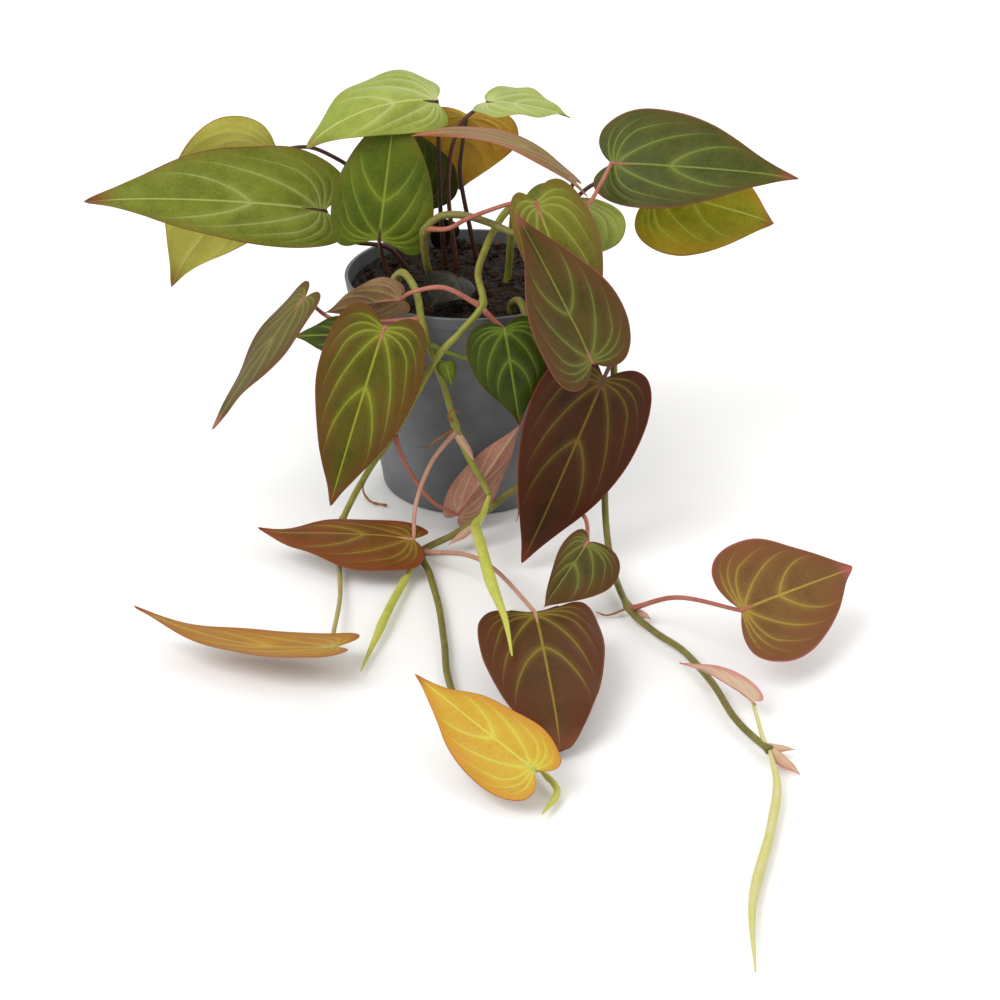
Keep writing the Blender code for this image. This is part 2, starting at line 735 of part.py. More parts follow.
def revolved(name, profile, steps):
    """A solid of revolution about Z from a profile of (radius, height) points."""
    mesh = bpy.data.meshes.new(name)
    edges = [(i, i + 1) for i in range(len(profile) - 1)]
    mesh.from_pydata([(r * MM, 0.0, z * MM) for r, z in profile], edges, [])
    made = place_object(name, mesh)
    screw = made.modifiers.new("turn", "SCREW")
    screw.steps = steps
    screw.render_steps = steps
    screw.use_merge_vertices = True
    screw.merge_threshold = WELD_DISTANCE * MM
    screw.use_smooth_shade = True
    return made


def inner_radius(height):
    """Radius of the pot's inside at a height above the floor."""
    share = height / POT_HEIGHT
    return FOOT_RADIUS + (RIM_RADIUS - LIP_STEP - FOOT_RADIUS) * share - WALL


def make_pot():
    """The nursery pot, with a lip, a chamfered foot and drain holes."""
    under_lip = POT_HEIGHT - LIP_HEIGHT
    taper = (RIM_RADIUS - LIP_STEP - FOOT_RADIUS) / POT_HEIGHT
    profile = [
        (0.0, FLOOR_THICKNESS),
        (inner_radius(FLOOR_THICKNESS), FLOOR_THICKNESS),
        (inner_radius(POT_HEIGHT), POT_HEIGHT - LIP_ROUNDING),
        (inner_radius(POT_HEIGHT) + LIP_ROUNDING, POT_HEIGHT),
        (RIM_RADIUS - LIP_ROUNDING, POT_HEIGHT),
        (RIM_RADIUS, POT_HEIGHT - LIP_ROUNDING),
        (RIM_RADIUS - taper * LIP_HEIGHT, under_lip),
        (FOOT_RADIUS + taper * (under_lip - LIP_STEP), under_lip - LIP_STEP),
        (FOOT_RADIUS + taper * FOOT_CHAMFER, FOOT_CHAMFER),
        (FOOT_RADIUS - FOOT_CHAMFER, 0.0),
        (0.0, 0.0),
    ]
    pot = revolved("pot", profile, POT_STEPS)
    shape = bmesh.new()
    for index in range(DRAIN_COUNT):
        angle = 2 * math.pi * (index + 0.5) / DRAIN_COUNT
        x, y = DRAIN_CIRCLE * math.cos(angle), DRAIN_CIRCLE * math.sin(angle)
        place = Matrix.Translation((x * MM, y * MM, 0.5 * FLOOR_THICKNESS * MM))
        bmesh.ops.create_cone(
            shape, cap_ends=True, segments=DRAIN_SEGMENTS, radius1=DRAIN_RADIUS * MM,
            radius2=DRAIN_RADIUS * MM, depth=3 * FLOOR_THICKNESS * MM, matrix=place,
        )
    mesh = bpy.data.meshes.new("drain_cutters")
    shape.to_mesh(mesh)
    shape.free()
    join(pot, place_object("drain_cutters", mesh), "DIFFERENCE")
    coat(pot, POT)


def make_soil():
    """The peat that fills the pot, slightly domed."""
    low = FLOOR_THICKNESS + SOIL_GAP
    profile = [
        (0.0, soil_top() + SOIL_DOME),
        (SOIL_SHOULDER * inner_radius(soil_top()), soil_top() + SOIL_SHOULDER_RISE * SOIL_DOME),
        (inner_radius(soil_top()) - SOIL_GAP, soil_top()),
        (inner_radius(low) - SOIL_GAP, low),
        (0.0, low),
    ]
    soil = revolved("soil", profile, POT_STEPS)
    coat(soil, SOIL)


def make_leaves():
    """Every leaf: a blade joined to its petiole."""
    for name, (leaf, finish) in LEAVES.items():
        ends = drape([leaf.base, leaf.tip])
        made = blade(name, leaf, ends, BLADE_ROWS, BLADE_COLUMNS, BLADE_THICKNESS)
        join(made, petiole(name, leaf))
        coat(made, finish)


def make_scales():
    """The thin sheaths that wrapped each new leaf and dry at the nodes."""
    for name, (leaf, finish) in SCALES.items():
        ends = seated(leaf)
        made = blade(name, leaf, ends, SCALE_ROWS, SCALE_COLUMNS, SCALE_THICKNESS)
        coat(made, finish)


def make_stems():
    """The vines, swollen a little at each node."""
    for name, (points, nodes) in STEMS.items():
        path, radii = vine(points, nodes)
        coat(tube(name, path, VINE_RADIUS, radii / VINE_RADIUS, 2), STEM)


def make_shoots():
    """New leaves still rolled up: thin at the foot, fuller, then a fine tip."""
    for name, (points, radius) in SHOOTS.items():
        path = smooth(from_vine(points, SHOOT_FULLNESS[0] * radius), CURVE_SAMPLES)
        along = np.linspace(0, 1, len(path))
        factors = np.interp(along, SHOOT_SHARES, SHOOT_FULLNESS)
        coat(tube(name, path, radius, factors, 1), SHOOT)


def make_roots():
    """Short aerial roots and roots that left the pot."""
    for name, (points, radius) in ROOTS.items():
        path = drape(points) if name in POT_ROOTS else from_vine(points, radius)
        path = smooth(path, CURVE_SAMPLES)
        factors = np.linspace(1.0, ROOT_TIP, len(path))
        coat(tube(name, path, radius, factors, 1), ROOT)


def make_chips():
    """Bark chips lying on the soil."""
    for name, (x, y, length, thick, turn) in CHIPS.items():
        place = drape([x, y, 0.0])
        place[2] = soil_top() + SOIL_DOME + thick / 2 + SOIL_GAP
        shape = bmesh.new()
        bmesh.ops.create_icosphere(shape, subdivisions=1, radius=0.5 * MM)
        bmesh.ops.scale(shape, vec=(length, CHIP_WIDTH * length, thick), verts=shape.verts)
        matrix = Matrix.Translation(place * MM) @ Matrix.Rotation(math.radians(turn), 4, "Z")
        bmesh.ops.transform(shape, matrix=matrix, verts=shape.verts)
        mesh = bpy.data.meshes.new(name)
        shape.to_mesh(mesh)
        shape.free()
        coat(place_object(name, mesh), BARK)


def main():
    """Clears the scene and builds every piece."""
    for old in list(bpy.data.objects):
        bpy.data.objects.remove(old)
    make_pot()
    make_soil()
    make_stems()
    make_leaves()
    make_scales()
    make_shoots()
    make_roots()
    make_chips()


if __name__ == "__main__":
    main()
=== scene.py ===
"""Looks for a potted heart-leaf philodendron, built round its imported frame.

The tables are in millimetres, as a grower would measure the plant, and the
meshes are in metres. +Z is up, the plant's front faces -Y, and the pot's foot
is centred on the origin.
"""

import json
import logging
import math
from dataclasses import dataclass, field, replace
from enum import Enum
from typing import Any

import bpy
import numpy as np
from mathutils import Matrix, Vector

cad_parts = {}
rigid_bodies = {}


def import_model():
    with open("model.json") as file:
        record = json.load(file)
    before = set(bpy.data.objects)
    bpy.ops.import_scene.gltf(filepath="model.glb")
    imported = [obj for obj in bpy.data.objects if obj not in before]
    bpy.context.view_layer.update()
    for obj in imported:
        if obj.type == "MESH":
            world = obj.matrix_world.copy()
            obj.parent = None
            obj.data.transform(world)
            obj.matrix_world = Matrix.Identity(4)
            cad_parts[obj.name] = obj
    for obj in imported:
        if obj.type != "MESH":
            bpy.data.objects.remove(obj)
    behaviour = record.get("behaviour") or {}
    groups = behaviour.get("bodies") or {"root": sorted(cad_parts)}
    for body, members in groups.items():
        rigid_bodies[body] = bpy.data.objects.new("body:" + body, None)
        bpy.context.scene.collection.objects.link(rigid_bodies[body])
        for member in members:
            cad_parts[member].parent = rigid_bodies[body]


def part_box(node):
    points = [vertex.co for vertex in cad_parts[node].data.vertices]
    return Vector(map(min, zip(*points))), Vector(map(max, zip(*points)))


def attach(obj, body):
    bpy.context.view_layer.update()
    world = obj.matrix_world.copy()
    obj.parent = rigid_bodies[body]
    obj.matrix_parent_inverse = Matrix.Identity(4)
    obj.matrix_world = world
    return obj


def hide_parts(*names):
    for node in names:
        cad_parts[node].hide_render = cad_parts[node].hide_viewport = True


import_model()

Array = np.ndarray
Colour = tuple[float, float, float]
Point = tuple[float, float, float]
Route = tuple[Point, ...]

MM = 0.001
TURN = 2 * math.pi
BODY = "root"
STUDIO_LIGHT = 1.5
log = logging.getLogger("philodendron")


def hue(code: str) -> Colour:
    """Turns a colour as it shows under the studio's light into a linear pigment.

    The studio shows a pigment brighter by STUDIO_LIGHT, so that is divided out.

    Args:
        code: Red, green and blue as two hexadecimal digits each.

    Returns:
        The linear red, green and blue.
    """
    shares = [int(code[place:place + 2], 16) / 255 for place in (0, 2, 4)]
    linear = [s / 12.92 if s <= 0.04045 else ((s + 0.055) / 1.055) ** 2.4 for s in shares]
    red, green, blue = (value / STUDIO_LIGHT for value in linear)
    return red, green, blue


# Curves and surfaces


def smooth(points: Any, samples: int) -> Array:
    """A Catmull-Rom curve: each span is the cubic through its ends, aimed by its neighbours.

    Args:
        points: The points that the curve passes through.
        samples: How many samples each span has.

    Returns:
        The curve's points, one a row.
    """
    points = np.asarray(points, dtype=float)
    if len(points) == 2:
        points = np.linspace(points[0], points[1], 4)
    padded = np.vstack([2 * points[0] - points[1], points, 2 * points[-1] - points[-2]])
    spans = len(points) - 1
    place = np.linspace(0, spans, spans * samples + 1)
    first = np.minimum(place.astype(int), spans - 1)
    t = (place - first)[:, None]
    a, b, c, d = (padded[first + step] for step in range(4))
    bend = (2 * a - 5 * b + 4 * c - d) * t**2 + (3 * b - a - 3 * c + d) * t**3
    return 0.5 * (2 * b + (c - a) * t + bend)


def lengths(path: Array) -> Array:
    """Distance along a path at each of its points."""
    return np.concatenate([[0.0], np.cumsum(np.linalg.norm(np.diff(path, axis=0), axis=1))])


def ease(value: Array, low: float, high: float) -> Array:
    """Rises from 0 at low to 1 at high, flat at both ends: 3t squared less 2t cubed."""
    t = np.clip((value - low) / (high - low), 0, 1)
    return t * t * (3 - 2 * t)


class Grain:
    """Seeded value noise: random numbers on a lattice, eased from one to the next."""

    SIZE = 32

    def __init__(self, seed: int) -> None:
        """Draws the lattice.

        Args:
            seed: The lattice's own number, which fixes every value.
        """
        self.values = np.random.default_rng(seed).random((self.SIZE,) * 3) * 2 - 1

    def at(self, places: Array, cell: float) -> Array:
        """Noise from -1 to 1 at each place, with lumps about one cell wide.

        Args:
            places: Points, with x, y and z in the last axis.
            cell: Width of a lattice cell, in the points' own unit.

        Returns:
            One value a point.
        """
        scaled = places / cell
        floor = np.floor(scaled)
        part = scaled - floor
        part = part * part * (3 - 2 * part)
        low = floor.astype(int) % self.SIZE
        high = (low + 1) % self.SIZE
        total = np.zeros(places.shape[:-1])
        for corner in range(8):
            pick = [(corner >> axis) & 1 for axis in range(3)]
            index = [np.where(pick[a], high[..., a], low[..., a]) for a in range(3)]
            share = [part[..., a] if pick[a] else 1 - part[..., a] for a in range(3)]
            total += self.values[index[0], index[1], index[2]] * share[0] * share[1] * share[2]
        return total


@dataclass
class Patch:
    """One grid of a skin: the vertex at each grid point, and its maps.

    Attributes:
        ids: Vertex numbers, by row and column.
        maps: Named pairs of numbers at each grid point, kept as UV maps.
        flip: True where the grid's own order faces inwards.
    """

    ids: Array
    maps: dict[str, Array]
    flip: bool = False

    def corners(self, values: Array) -> Array:
        """The grid's values at the corners of its triangles, two triangles a cell."""
        a, b, c, d = values[:-1, :-1], values[1:, :-1], values[1:, 1:], values[:-1, 1:]
        order = [(a, c, b), (a, d, c)] if self.flip else [(a, b, c), (a, c, d)]
        tail = values.shape[2:]
        return np.concatenate([np.stack(t, axis=2).reshape(-1, 3, *tail) for t in order])


def unpinched(triangles: Array) -> Array:
    """True for each triangle that has three different corners."""
    first, second, third = triangles.T
    return (first != second) & (second != third) & (third != first)


def skin(name: str, points: Array, patches: list[Patch]) -> bpy.types.Object:
    """Puts grids into one mesh object at the origin, leaving out flat slivers at the poles.

    Args:
        name: The piece's name.
        points: Vertex places in metres.
        patches: The grids that join them.

    Returns:
        The new object, shaded smooth.
    """
    triangles = np.concatenate([patch.corners(patch.ids) for patch in patches])
    whole = unpinched(triangles)
    mesh = bpy.data.meshes.new(name)
    mesh.from_pydata(points.reshape(-1, 3).tolist(), [], triangles[whole].tolist())
    for layer in patches[0].maps:
        values = np.concatenate([patch.corners(patch.maps[layer]) for patch in patches])
        uv = mesh.uv_layers.new(name=layer)
        uv.uv.foreach_set("vector", values[whole].astype(np.float32).ravel())
    mesh.polygons.foreach_set("use_smooth", np.ones(len(mesh.polygons), dtype=bool))
    mesh.update()
    made = bpy.data.objects.new(name, mesh)
    bpy.context.scene.collection.objects.link(made)
    return made


def ringed(rows: int, sides: int) -> Array:
    """Vertex numbers of a closed skin of rings: a pole, the rings, then a pole."""
    ring = np.arange(rows * sides).reshape(rows, sides)
    ring = np.hstack([ring, ring[:, :1]])
    start = np.full((1, sides + 1), rows * sides)
    return np.vstack([start, ring, start + 1])


def tube(name: str, path: Array, radii: Array, sides: int, relief: Array | None = None) -> bpy.types.Object:
    """A profile carried along a path: centre plus radius times (cos t, sin t) across it.

    The directions across the path come from its tangent and from the direction
    that the path as a whole keeps most clear of.

    Args:
        name: The piece's name.
        path: Points along the middle, in millimetres.
        radii: Radius at each point.
        sides: How many sides the tube has.
        relief: Factor on the radius, by point and side, or None for a round tube.

    Returns:
        The closed tube, with the map "skin" of turn and millimetres along.
    """
    run = lengths(path)
    tangent = np.gradient(path, run, axis=0)
    tangent /= np.linalg.norm(tangent, axis=1)[:, None]
    clear = np.linalg.svd(tangent)[2][-1]
    across = np.cross(tangent, clear)
    across /= np.linalg.norm(across, axis=1)[:, None]
    upward = np.cross(tangent, across)
    angle = np.arange(sides) / sides * TURN
    reach = radii[:, None] * (relief if relief is not None else 1.0)
    ring = np.cos(angle)[:, None] * across[:, None] + np.sin(angle)[:, None] * upward[:, None]
    rings = path[:, None] + reach[..., None] * ring
    points = np.vstack([rings.reshape(-1, 3), path[:1], path[-1:]]) * MM
    turn = np.linspace(0, 1, sides + 1)
    along = np.concatenate([run[:1], run, run[-1:]])
    chart = np.stack(np.meshgrid(turn, along), axis=-1)
    return skin(name, points, [Patch(ringed(len(path), sides), {"skin": chart}, flip=True)])


def lathe(name: str, profile: Array, sides: int, lift: Grain | None = None) -> bpy.types.Object:
    """A turned solid: (radius, height) carried round Z, from one pole to the other.

    Args:
        name: The piece's name.
        profile: Radius and height in millimetres, from the axis out and back to it.
        sides: How many sides the solid has.
        lift: Noise that roughens its upper face, or None.

    Returns:
        The closed solid, with the map "skin" of turn and millimetres along the profile.
    """
    angle = np.arange(sides) / sides * TURN
    inner = profile[1:-1]
    x = inner[:, :1] * np.cos(angle)
    y = inner[:, :1] * np.sin(angle)
    z = np.broadcast_to(inner[:, 1:], x.shape)
    rings = np.stack([x, y, z], axis=-1)
    if lift is not None:
        rings = roughened(rings, lift)
    poles = np.array([[0, 0, profile[0, 1]], [0, 0, profile[-1, 1]]])
    if lift is not None:
        poles[-1, 2] = rings[-1, :, 2].mean()
    points = np.vstack([rings.reshape(-1, 3), poles]) * MM
    turn = np.linspace(0, 1, sides + 1)
    chart = np.stack(np.meshgrid(turn, lengths(profile)), axis=-1)
    return skin(name, points, [Patch(ringed(len(inner), sides), {"skin": chart}, flip=True)])


# Shader maths


class Socket:
    """A shader output that Python's operators work on, one Math node an operation."""

    def __init__(self, nodes: "Nodes", output: Any) -> None:
        """Wraps an output.

        Args:
            nodes: The material's nodes.
            output: The node's output socket.
        """
        self.nodes = nodes
        self.output = output

    def maths(self, operation: str, *values: Any) -> "Socket":
        """A Math node on these values."""
        return self.nodes.add("ShaderNodeMath", {"operation": operation}, dict(enumerate(values)))

    def __add__(self, other: Any) -> "Socket":
        """self + other."""
        return self.maths("ADD", self, other)

    __radd__ = __add__

    def __mul__(self, other: Any) -> "Socket":
        """self * other."""
        return self.maths("MULTIPLY", self, other)

    __rmul__ = __mul__

    def __sub__(self, other: Any) -> "Socket":
        """self - other."""
        return self.maths("SUBTRACT", self, other)

    def __rsub__(self, other: Any) -> "Socket":
        """other - self."""
        return self.maths("SUBTRACT", other, self)

    def __abs__(self) -> "Socket":
        """self without its sign."""
        return self.maths("ABSOLUTE", self)

    def fraction(self) -> "Socket":
        """The part of self after the point."""
        return self.maths("FRACT", self)

    def most(self, other: Any) -> "Socket":
        """The greater of self and other."""
        return self.maths("MAXIMUM", self, other)

    def clipped(self) -> "Socket":
        """self held between 0 and 1."""
        return self.nodes.add("ShaderNodeClamp", {}, {"Value": self})

    def between(self, low: Any, high: Any) -> "Socket":
        """Rises smoothly from 0 where self is low to 1 where it is high."""
        settings = {"interpolation_type": "SMOOTHSTEP"}
        return self.nodes.add("ShaderNodeMapRange", settings, {0: self, 1: low, 2: high})


class Nodes:
    """A new material and its node tree."""

    def __init__(self, name: str) -> None:
        """Makes the material, with only its output node.

        Args:
            name: The material's name.
        """
        self.material = bpy.data.materials.new(name)
        self.material.use_nodes = True
        self.tree = self.material.node_tree
        self.tree.nodes.clear()

    def add(self, kind: str, settings: dict[str, Any], values: dict[Any, Any], out: Any = 0) -> Socket:
        """Adds a node of any kind.

        Args:
            kind: The node's type.
            settings: Its properties, set first.
            values: Its inputs by name or number, as constants or links.
            out: The name or number of the output that is wanted.

        Returns:
            That output.
        """
        node = self.tree.nodes.new(kind)
        for key, value in settings.items():
            setattr(node, key, value)
        for key, value in values.items():
            if isinstance(value, Socket):
                self.tree.links.new(value.output, node.inputs[key])
            elif isinstance(value, tuple) and len(node.inputs[key].default_value) == 4:
                node.inputs[key].default_value = (*value, 1.0)
            else:
                node.inputs[key].default_value = value
        return Socket(self, node.outputs[out])

    def chart(self, name: str) -> tuple[Socket, Socket]:
        """The two numbers of one of the piece's own maps."""
        uv = self.add("ShaderNodeUVMap", {"uv_map": name}, {})
        parts = self.add("ShaderNodeSeparateXYZ", {}, {0: uv})
        return parts, Socket(self, parts.output.node.outputs[1])

    def place(self) -> Socket:
        """The surface's place in the object's own metres."""
        return self.add("ShaderNodeTexCoord", {}, {}, "Object")

    def noise(self, size: float, detail: float = 2.0, rough: float = 0.5) -> Socket:
        """Noise from 0 to 1 with lumps about this many millimetres wide."""
        values = {"Scale": 1 / (size * MM), "Detail": detail, "Roughness": rough}
        return self.add("ShaderNodeTexNoise", {}, {**values, "Vector": self.place()})

    def mixed(self, amount: Any, low: Any, high: Any) -> Socket:
        """A colour between low, where the amount is 0, and high, where it is 1."""
        return self.add("ShaderNodeMix", {"data_type": "RGBA"}, {0: amount, 6: low, 7: high}, 2)

    def bump(self, height: Socket, depth: float) -> Socket:
        """A normal bent by a height from 0 to 1, this many millimetres deep."""
        return self.add("ShaderNodeBump", {}, {"Height": height, "Distance": depth * MM})

    def finish(self, **values: Any) -> bpy.types.Material:
        """Ends the material with a Principled shader.

        Args:
            **values: The shader's inputs, with underscores for spaces.

        Returns:
            The finished material.
        """
        named = {key.replace("_", " "): value for key, value in values.items()}
        shader = self.add("ShaderNodeBsdfPrincipled", {}, named)
        self.add_output(shader)
        return self.material

    def add_output(self, shader: Socket) -> None:
        """Links a shader to the material's output."""
        node = self.tree.nodes.new("ShaderNodeOutputMaterial")
        self.tree.links.new(shader.output, node.inputs["Surface"])


def settle(made: bpy.types.Object, node: str, material: bpy.types.Material) -> bpy.types.Object:
    """Dresses a piece and sets it in the frame in place of its CAD node.

    Args:
        made: The piece.
        node: The CAD node that it stands for, which it hides.
        material: What it is dressed in.

    Returns:
        The same piece.
    """
    made.data.materials.append(material)
    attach(made, BODY)
    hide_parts(node)
    log.info("%s stands for %s with %d faces", made.name, node, len(made.data.polygons))
    return made


# Finishes


# A blade's markings in millimetres: width at the margin or tip, and what is added inwards
VEIN_WIDTH, VEIN_WIDENING = 0.16, 0.3
RIB_WIDTH, RIB_WIDENING = 0.28, 0.5
HALO = (0.1, 3.4)

# Sizes of a blade's colour clouds, specks and velvet nap, in millimetres
CLOUD = 15.0
SPECK = 1.3
NAP = 0.45
NAP_DEPTH = 0.11


@dataclass(frozen=True)
class LeafFinish:
    """Colours of one kind of blade, as display codes.

    Attributes:
        blade: The upper face.
        depth: Its darker mottling.
        blush: The bronze that spreads from the margin between the veins.
        blushing: How far the bronze spreads, from 0 to 1.
        vein: The veins and midrib above.
        margin: The thin edge line and the tip.
        under: The lower face.
        under_blush: The lower face's own mottling.
        under_vein: The veins below.
    """

    blade: str
    depth: str
    blush: str
    blushing: float
    vein: str
    margin: str
    under: str = "8a4a3e"
    under_blush: str = "6e4a34"
    under_vein: str = "b0805f"

    def material(self, name: str) -> bpy.types.Material:
        """The velvety blade: mottled, bronzed between its veins, paler along them.

        A vein is where the vein number is whole, and its width is measured in
        millimetres with the map that gives the gap from one vein to the next.

        Args:
            name: The material's name.

        Returns:
            The material.
        """
        nodes = Nodes(name)
        number, gap = nodes.chart("veins")
        along, side = nodes.chart("blade")
        rib, below = nodes.chart("rib")
        edge = abs(side)
        off = abs((number + 0.5).fraction() - 0.5) * gap
        inner = 1 - edge.between(0.55, 0.97)
        width = VEIN_WIDTH + (1 - edge) * VEIN_WIDENING
        vein = (1 - off.between(width * 0.2, width * 2.4)) * inner
        halo = (1 - off.between(*HALO)) * inner
        rib_width = RIB_WIDTH + (1 - along) * RIB_WIDENING
        midrib = 1 - abs(rib).between(rib_width * 0.4, rib_width * 1.7)
        lines = (vein * 0.62).most(midrib * 0.9)
        cloud = nodes.noise(CLOUD, 4.0, 0.6)
        speck = nodes.noise(SPECK, 3.0, 0.65)
        spread = edge.between(0.15, 1.05) * 0.75 + along * 0.25 + (cloud - 0.5) * 1.3
        blush = (spread + 2 * self.blushing - 0.85 - halo * 0.35).clipped().between(0.0, 0.9)
        tip = (along + (cloud - 0.5) * 0.08).between(0.9, 0.985)
        line = edge.between(0.965, 0.992)
        mottle = (cloud * 0.7 + speck * 0.45).between(0.35, 0.8)
        upper = nodes.mixed(mottle, hue(self.depth), hue(self.blade))
        upper = nodes.mixed(blush * min(1.0, 0.35 + self.blushing), upper, hue(self.blush))
        upper = nodes.mixed(halo * 0.22 * (1 - edge), upper, hue(self.vein))
        upper = nodes.mixed(lines * (0.6 + speck * 0.4), upper, hue(self.vein))
        upper = nodes.mixed((line * 0.75).most(tip * 0.8), upper, hue(self.margin))
        lower = nodes.mixed(mottle, hue(self.under_blush), hue(self.under))
        lower = nodes.mixed(lines * 0.8, lower, hue(self.under_vein))
        lower = nodes.mixed((line * 0.6).most(tip * 0.7), lower, hue(self.margin))
        colour = nodes.mixed(below, upper, lower)
        nap = nodes.noise(NAP, 2.0, 0.6)
        weave = nap * 0.5 + speck * 0.5
        return nodes.finish(
            Base_Color=colour,
            Roughness=0.4 + mottle * 0.12 + below * 0.12,
            Normal=nodes.bump(weave, NAP_DEPTH),
            Sheen_Weight=0.03,
            Sheen_Roughness=0.35,
            Specular_IOR_Level=0.16,
        )


class Tone(Enum):
    """The kinds of blade on this plant, from fresh green to old copper; some are brightened as painted light
    or darkened as painted shade.
    """

    SPRING = LeafFinish("b6c45a", "96a63e", "a89a3c", 0.12, "dfe79a", "9a8a40", "c3c65c", "9fb046", "e2e79a")
    MEADOW = LeafFinish("8e9a32", "6a741a", "86642a", 0.2, "c2cc78", "8e4c2a", "b4ad52", "8c8a3c", "d6d68c")
    FERN = LeafFinish("6c7c14", "4c5e0e", "7a6418", 0.16, "a6b83c", "7c6432", "8c8a44", "6c6a30", "b8b870")
    MOSS = LeafFinish("566012", "3e4a0e", "6a5420", 0.2, "7c8c34", "6a5424", "5c5420", "443e18", "84803c")
    IVY = LeafFinish("46560a", "323e06", "565010", 0.12, "8fa834", "74502a", "6c6a28", "504e1c", "9a9c4c")
    # Painted light: this lime blade's colours are brightened to stand for backlight shining through the
    # leaf.
    LIME_BACKLIT = LeafFinish("bcb81e", "8e8a10", "c08a1c", 0.3, "dce05c", "a0662a", "b0ac48", "9a8c34", "dcdc84")
    OLIVE = LeafFinish("626a20", "464c16", "645024", 0.3, "9caa4c", "b0604c", "8f7a56", "74603e", "b4a878")
    GOLDEN = LeafFinish("8c8e28", "706a1a", "7e5c24", 0.34, "bcc258", "a8604c", "8a7040", "6a5430", "b0a064")
    VELVET = LeafFinish("625c1e", "4a4016", "6a4420", 0.48, "9aa048", "a8604c", "8a6a4c", "6a4c34", "aaa070")
    HERB = LeafFinish("6c6c10", "504e0a", "70481a", 0.45, "b8be3c", "8a4420", "8a7040", "6a5430", "b0a064")
    SAGE = LeafFinish("7c7438", "625428", "6c4a30", 0.4, "a09c58", "c87a70", "9a7a64", "74584a", "b4a084")
    BRONZE = LeafFinish("8a5e24", "6e4418", "8a4820", 0.5, "bc9c3c", "a84c2c", "94583c", "70402c", "bc9058")
    COPPER = LeafFinish("4e3010", "34200a", "52240e", 0.5, "8e742c", "8c3c28", "74382c", "542820", "9c6c44")
    RUST = LeafFinish("6c4a1e", "503414", "663418", 0.5, "b29e38", "94583c", "84463c", "5e302a", "ac8050")
    AMBER = LeafFinish("e8c240", "dca236", "dc9234", 0.32, "ecf062", "c4502c", "c89034", "a86c2a", "dccc60")
    OCHRE = LeafFinish("cc962e", "b47a22", "b87024", 0.4, "dcc454", "b4502c", "b07030", "8c5024", "d0b058")
    CINNAMON = LeafFinish(
        "96762a", "7c5620", "a8602a", 0.45, "b0a048", "b05a34",
        "b07034", "8a5a24", "b8a04c",
    )
    CLAY = LeafFinish("947034", "7a522a", "8c5430", 0.45, "d6b44c", "d46a70", "94583c", "744430", "c09858")
    # Painted light: colours brightened to stand for backlight shining through the blade, the lower face most
    # of all.
    BACKLIT = LeafFinish(
        "a0a83c", "80882c", "a08030", 0.25, "d8dc80", "a05034",
        "ece870", "d8cc54", "f4f4a0",
    )
    # Painted light: the lower face's bright yellows stand for light shining through the blade from behind.
    SUNLIT = LeafFinish("8c8430", "6c6424", "8a6428", 0.3, "c4bc58", "8c4c28", "f2c048", "e0a038", "f4d868")
    ROSE = LeafFinish("64402a", "4a2c1e", "703c2a", 0.5, "9c8050", "b46a58", "e0a68c", "b87e6c", "e8c8a0")
    SMOKE = LeafFinish("5c5634", "443c24", "6a4430", 0.4, "908a5c", "a06c58", "b89668", "886444", "d0b88c")
    # Painted shade: near-black colours stand for the shade deep in the pot.
    SHADED = LeafFinish("1c1c08", "100e04", "201808", 0.2, "34341a", "2c2010", "201a0c", "141006", "343018")
    BLUSHING = LeafFinish(
        "f0cdb4", "e4b49c", "e08a84", 0.4, "f0e0b4", "cc6470",
        "ecb8a0", "d89c8c", "f0dcb4",
    )
    SHEATH = LeafFinish("e6b49c", "dc9c88", "d87c78", 0.42, "ecd0a4", "d86a74", "e4b8a0", "dca090", "ecd4b4")


@dataclass(frozen=True)
class BarkFinish:
    """Colours of a stalk, stem or root, as display codes.

    Attributes:
        skin: Its main colour.
        streak: Fine lengthwise streaks.
        patch: Broad patches of another colour.
        roughness: How matt it is.
        ridges: Depth of its lengthwise ridges, in millimetres.
    """

    skin: str
    streak: str
    patch: str
    roughness: float = 0.42
    ridges: float = 0.12

    def material(self, name: str) -> bpy.types.Material:
        """Streaks drawn out along the piece, over broad patches.

        Args:
            name: The material's name.

        Returns:
            The material.
        """
        nodes = Nodes(name)
        turn, along = nodes.chart("skin")
        around = turn * TURN
        chart = nodes.add("ShaderNodeCombineXYZ", {}, {
            0: around.maths("COSINE", around) * 1.6,
            1: around.maths("SINE", around) * 1.6,
            2: along * 0.16,
        })
        streaks = nodes.add("ShaderNodeTexNoise", {}, {"Vector": chart, "Scale": 3.0, "Detail": 4.0})
        patches = nodes.noise(9.0, 3.0, 0.6)
        pores = nodes.noise(0.7, 2.0, 0.6)
        colour = nodes.mixed(patches.between(0.35, 0.72), hue(self.skin), hue(self.patch))
        colour = nodes.mixed(streaks.between(0.45, 0.75) * 0.7, colour, hue(self.streak))
        return nodes.finish(
            Base_Color=colour,
            Roughness=self.roughness + pores * 0.15,
            Normal=nodes.bump(streaks * 0.7 + pores * 0.3, self.ridges),
            Specular_IOR_Level=0.4,
        )


class Bark(Enum):
    """The kinds of stalk, stem and root on this plant."""

    CORAL = BarkFinish("cf7c66", "dc9880", "b8604c")
    PINK = BarkFinish("dca48c", "e4bc98", "cc8c78")
    CHESTNUT = BarkFinish("5a3424", "7c4c38", "43241c")
    MAROON = BarkFinish("743c2e", "96584a", "502820")
    STRAW = BarkFinish("c4bc6c", "d8d090", "c09c5c")
    OLIVE = BarkFinish("8c8a3a", "a8a656", "7a6c30")
    GREEN_VINE = BarkFinish("a2a63c", "beb858", "928430")
    DARK_VINE = BarkFinish("8c8638", "aca054", "766a2c")
    YOUNG = BarkFinish("dcdc5c", "ece88c", "c8d048", 0.4, 0.06)
    CREAM = BarkFinish("ece49c", "f4eebc", "e0e06c", 0.4, 0.06)
    ROOT = BarkFinish("b07a44", "cc9c60", "8a5830", 0.6, 0.15)


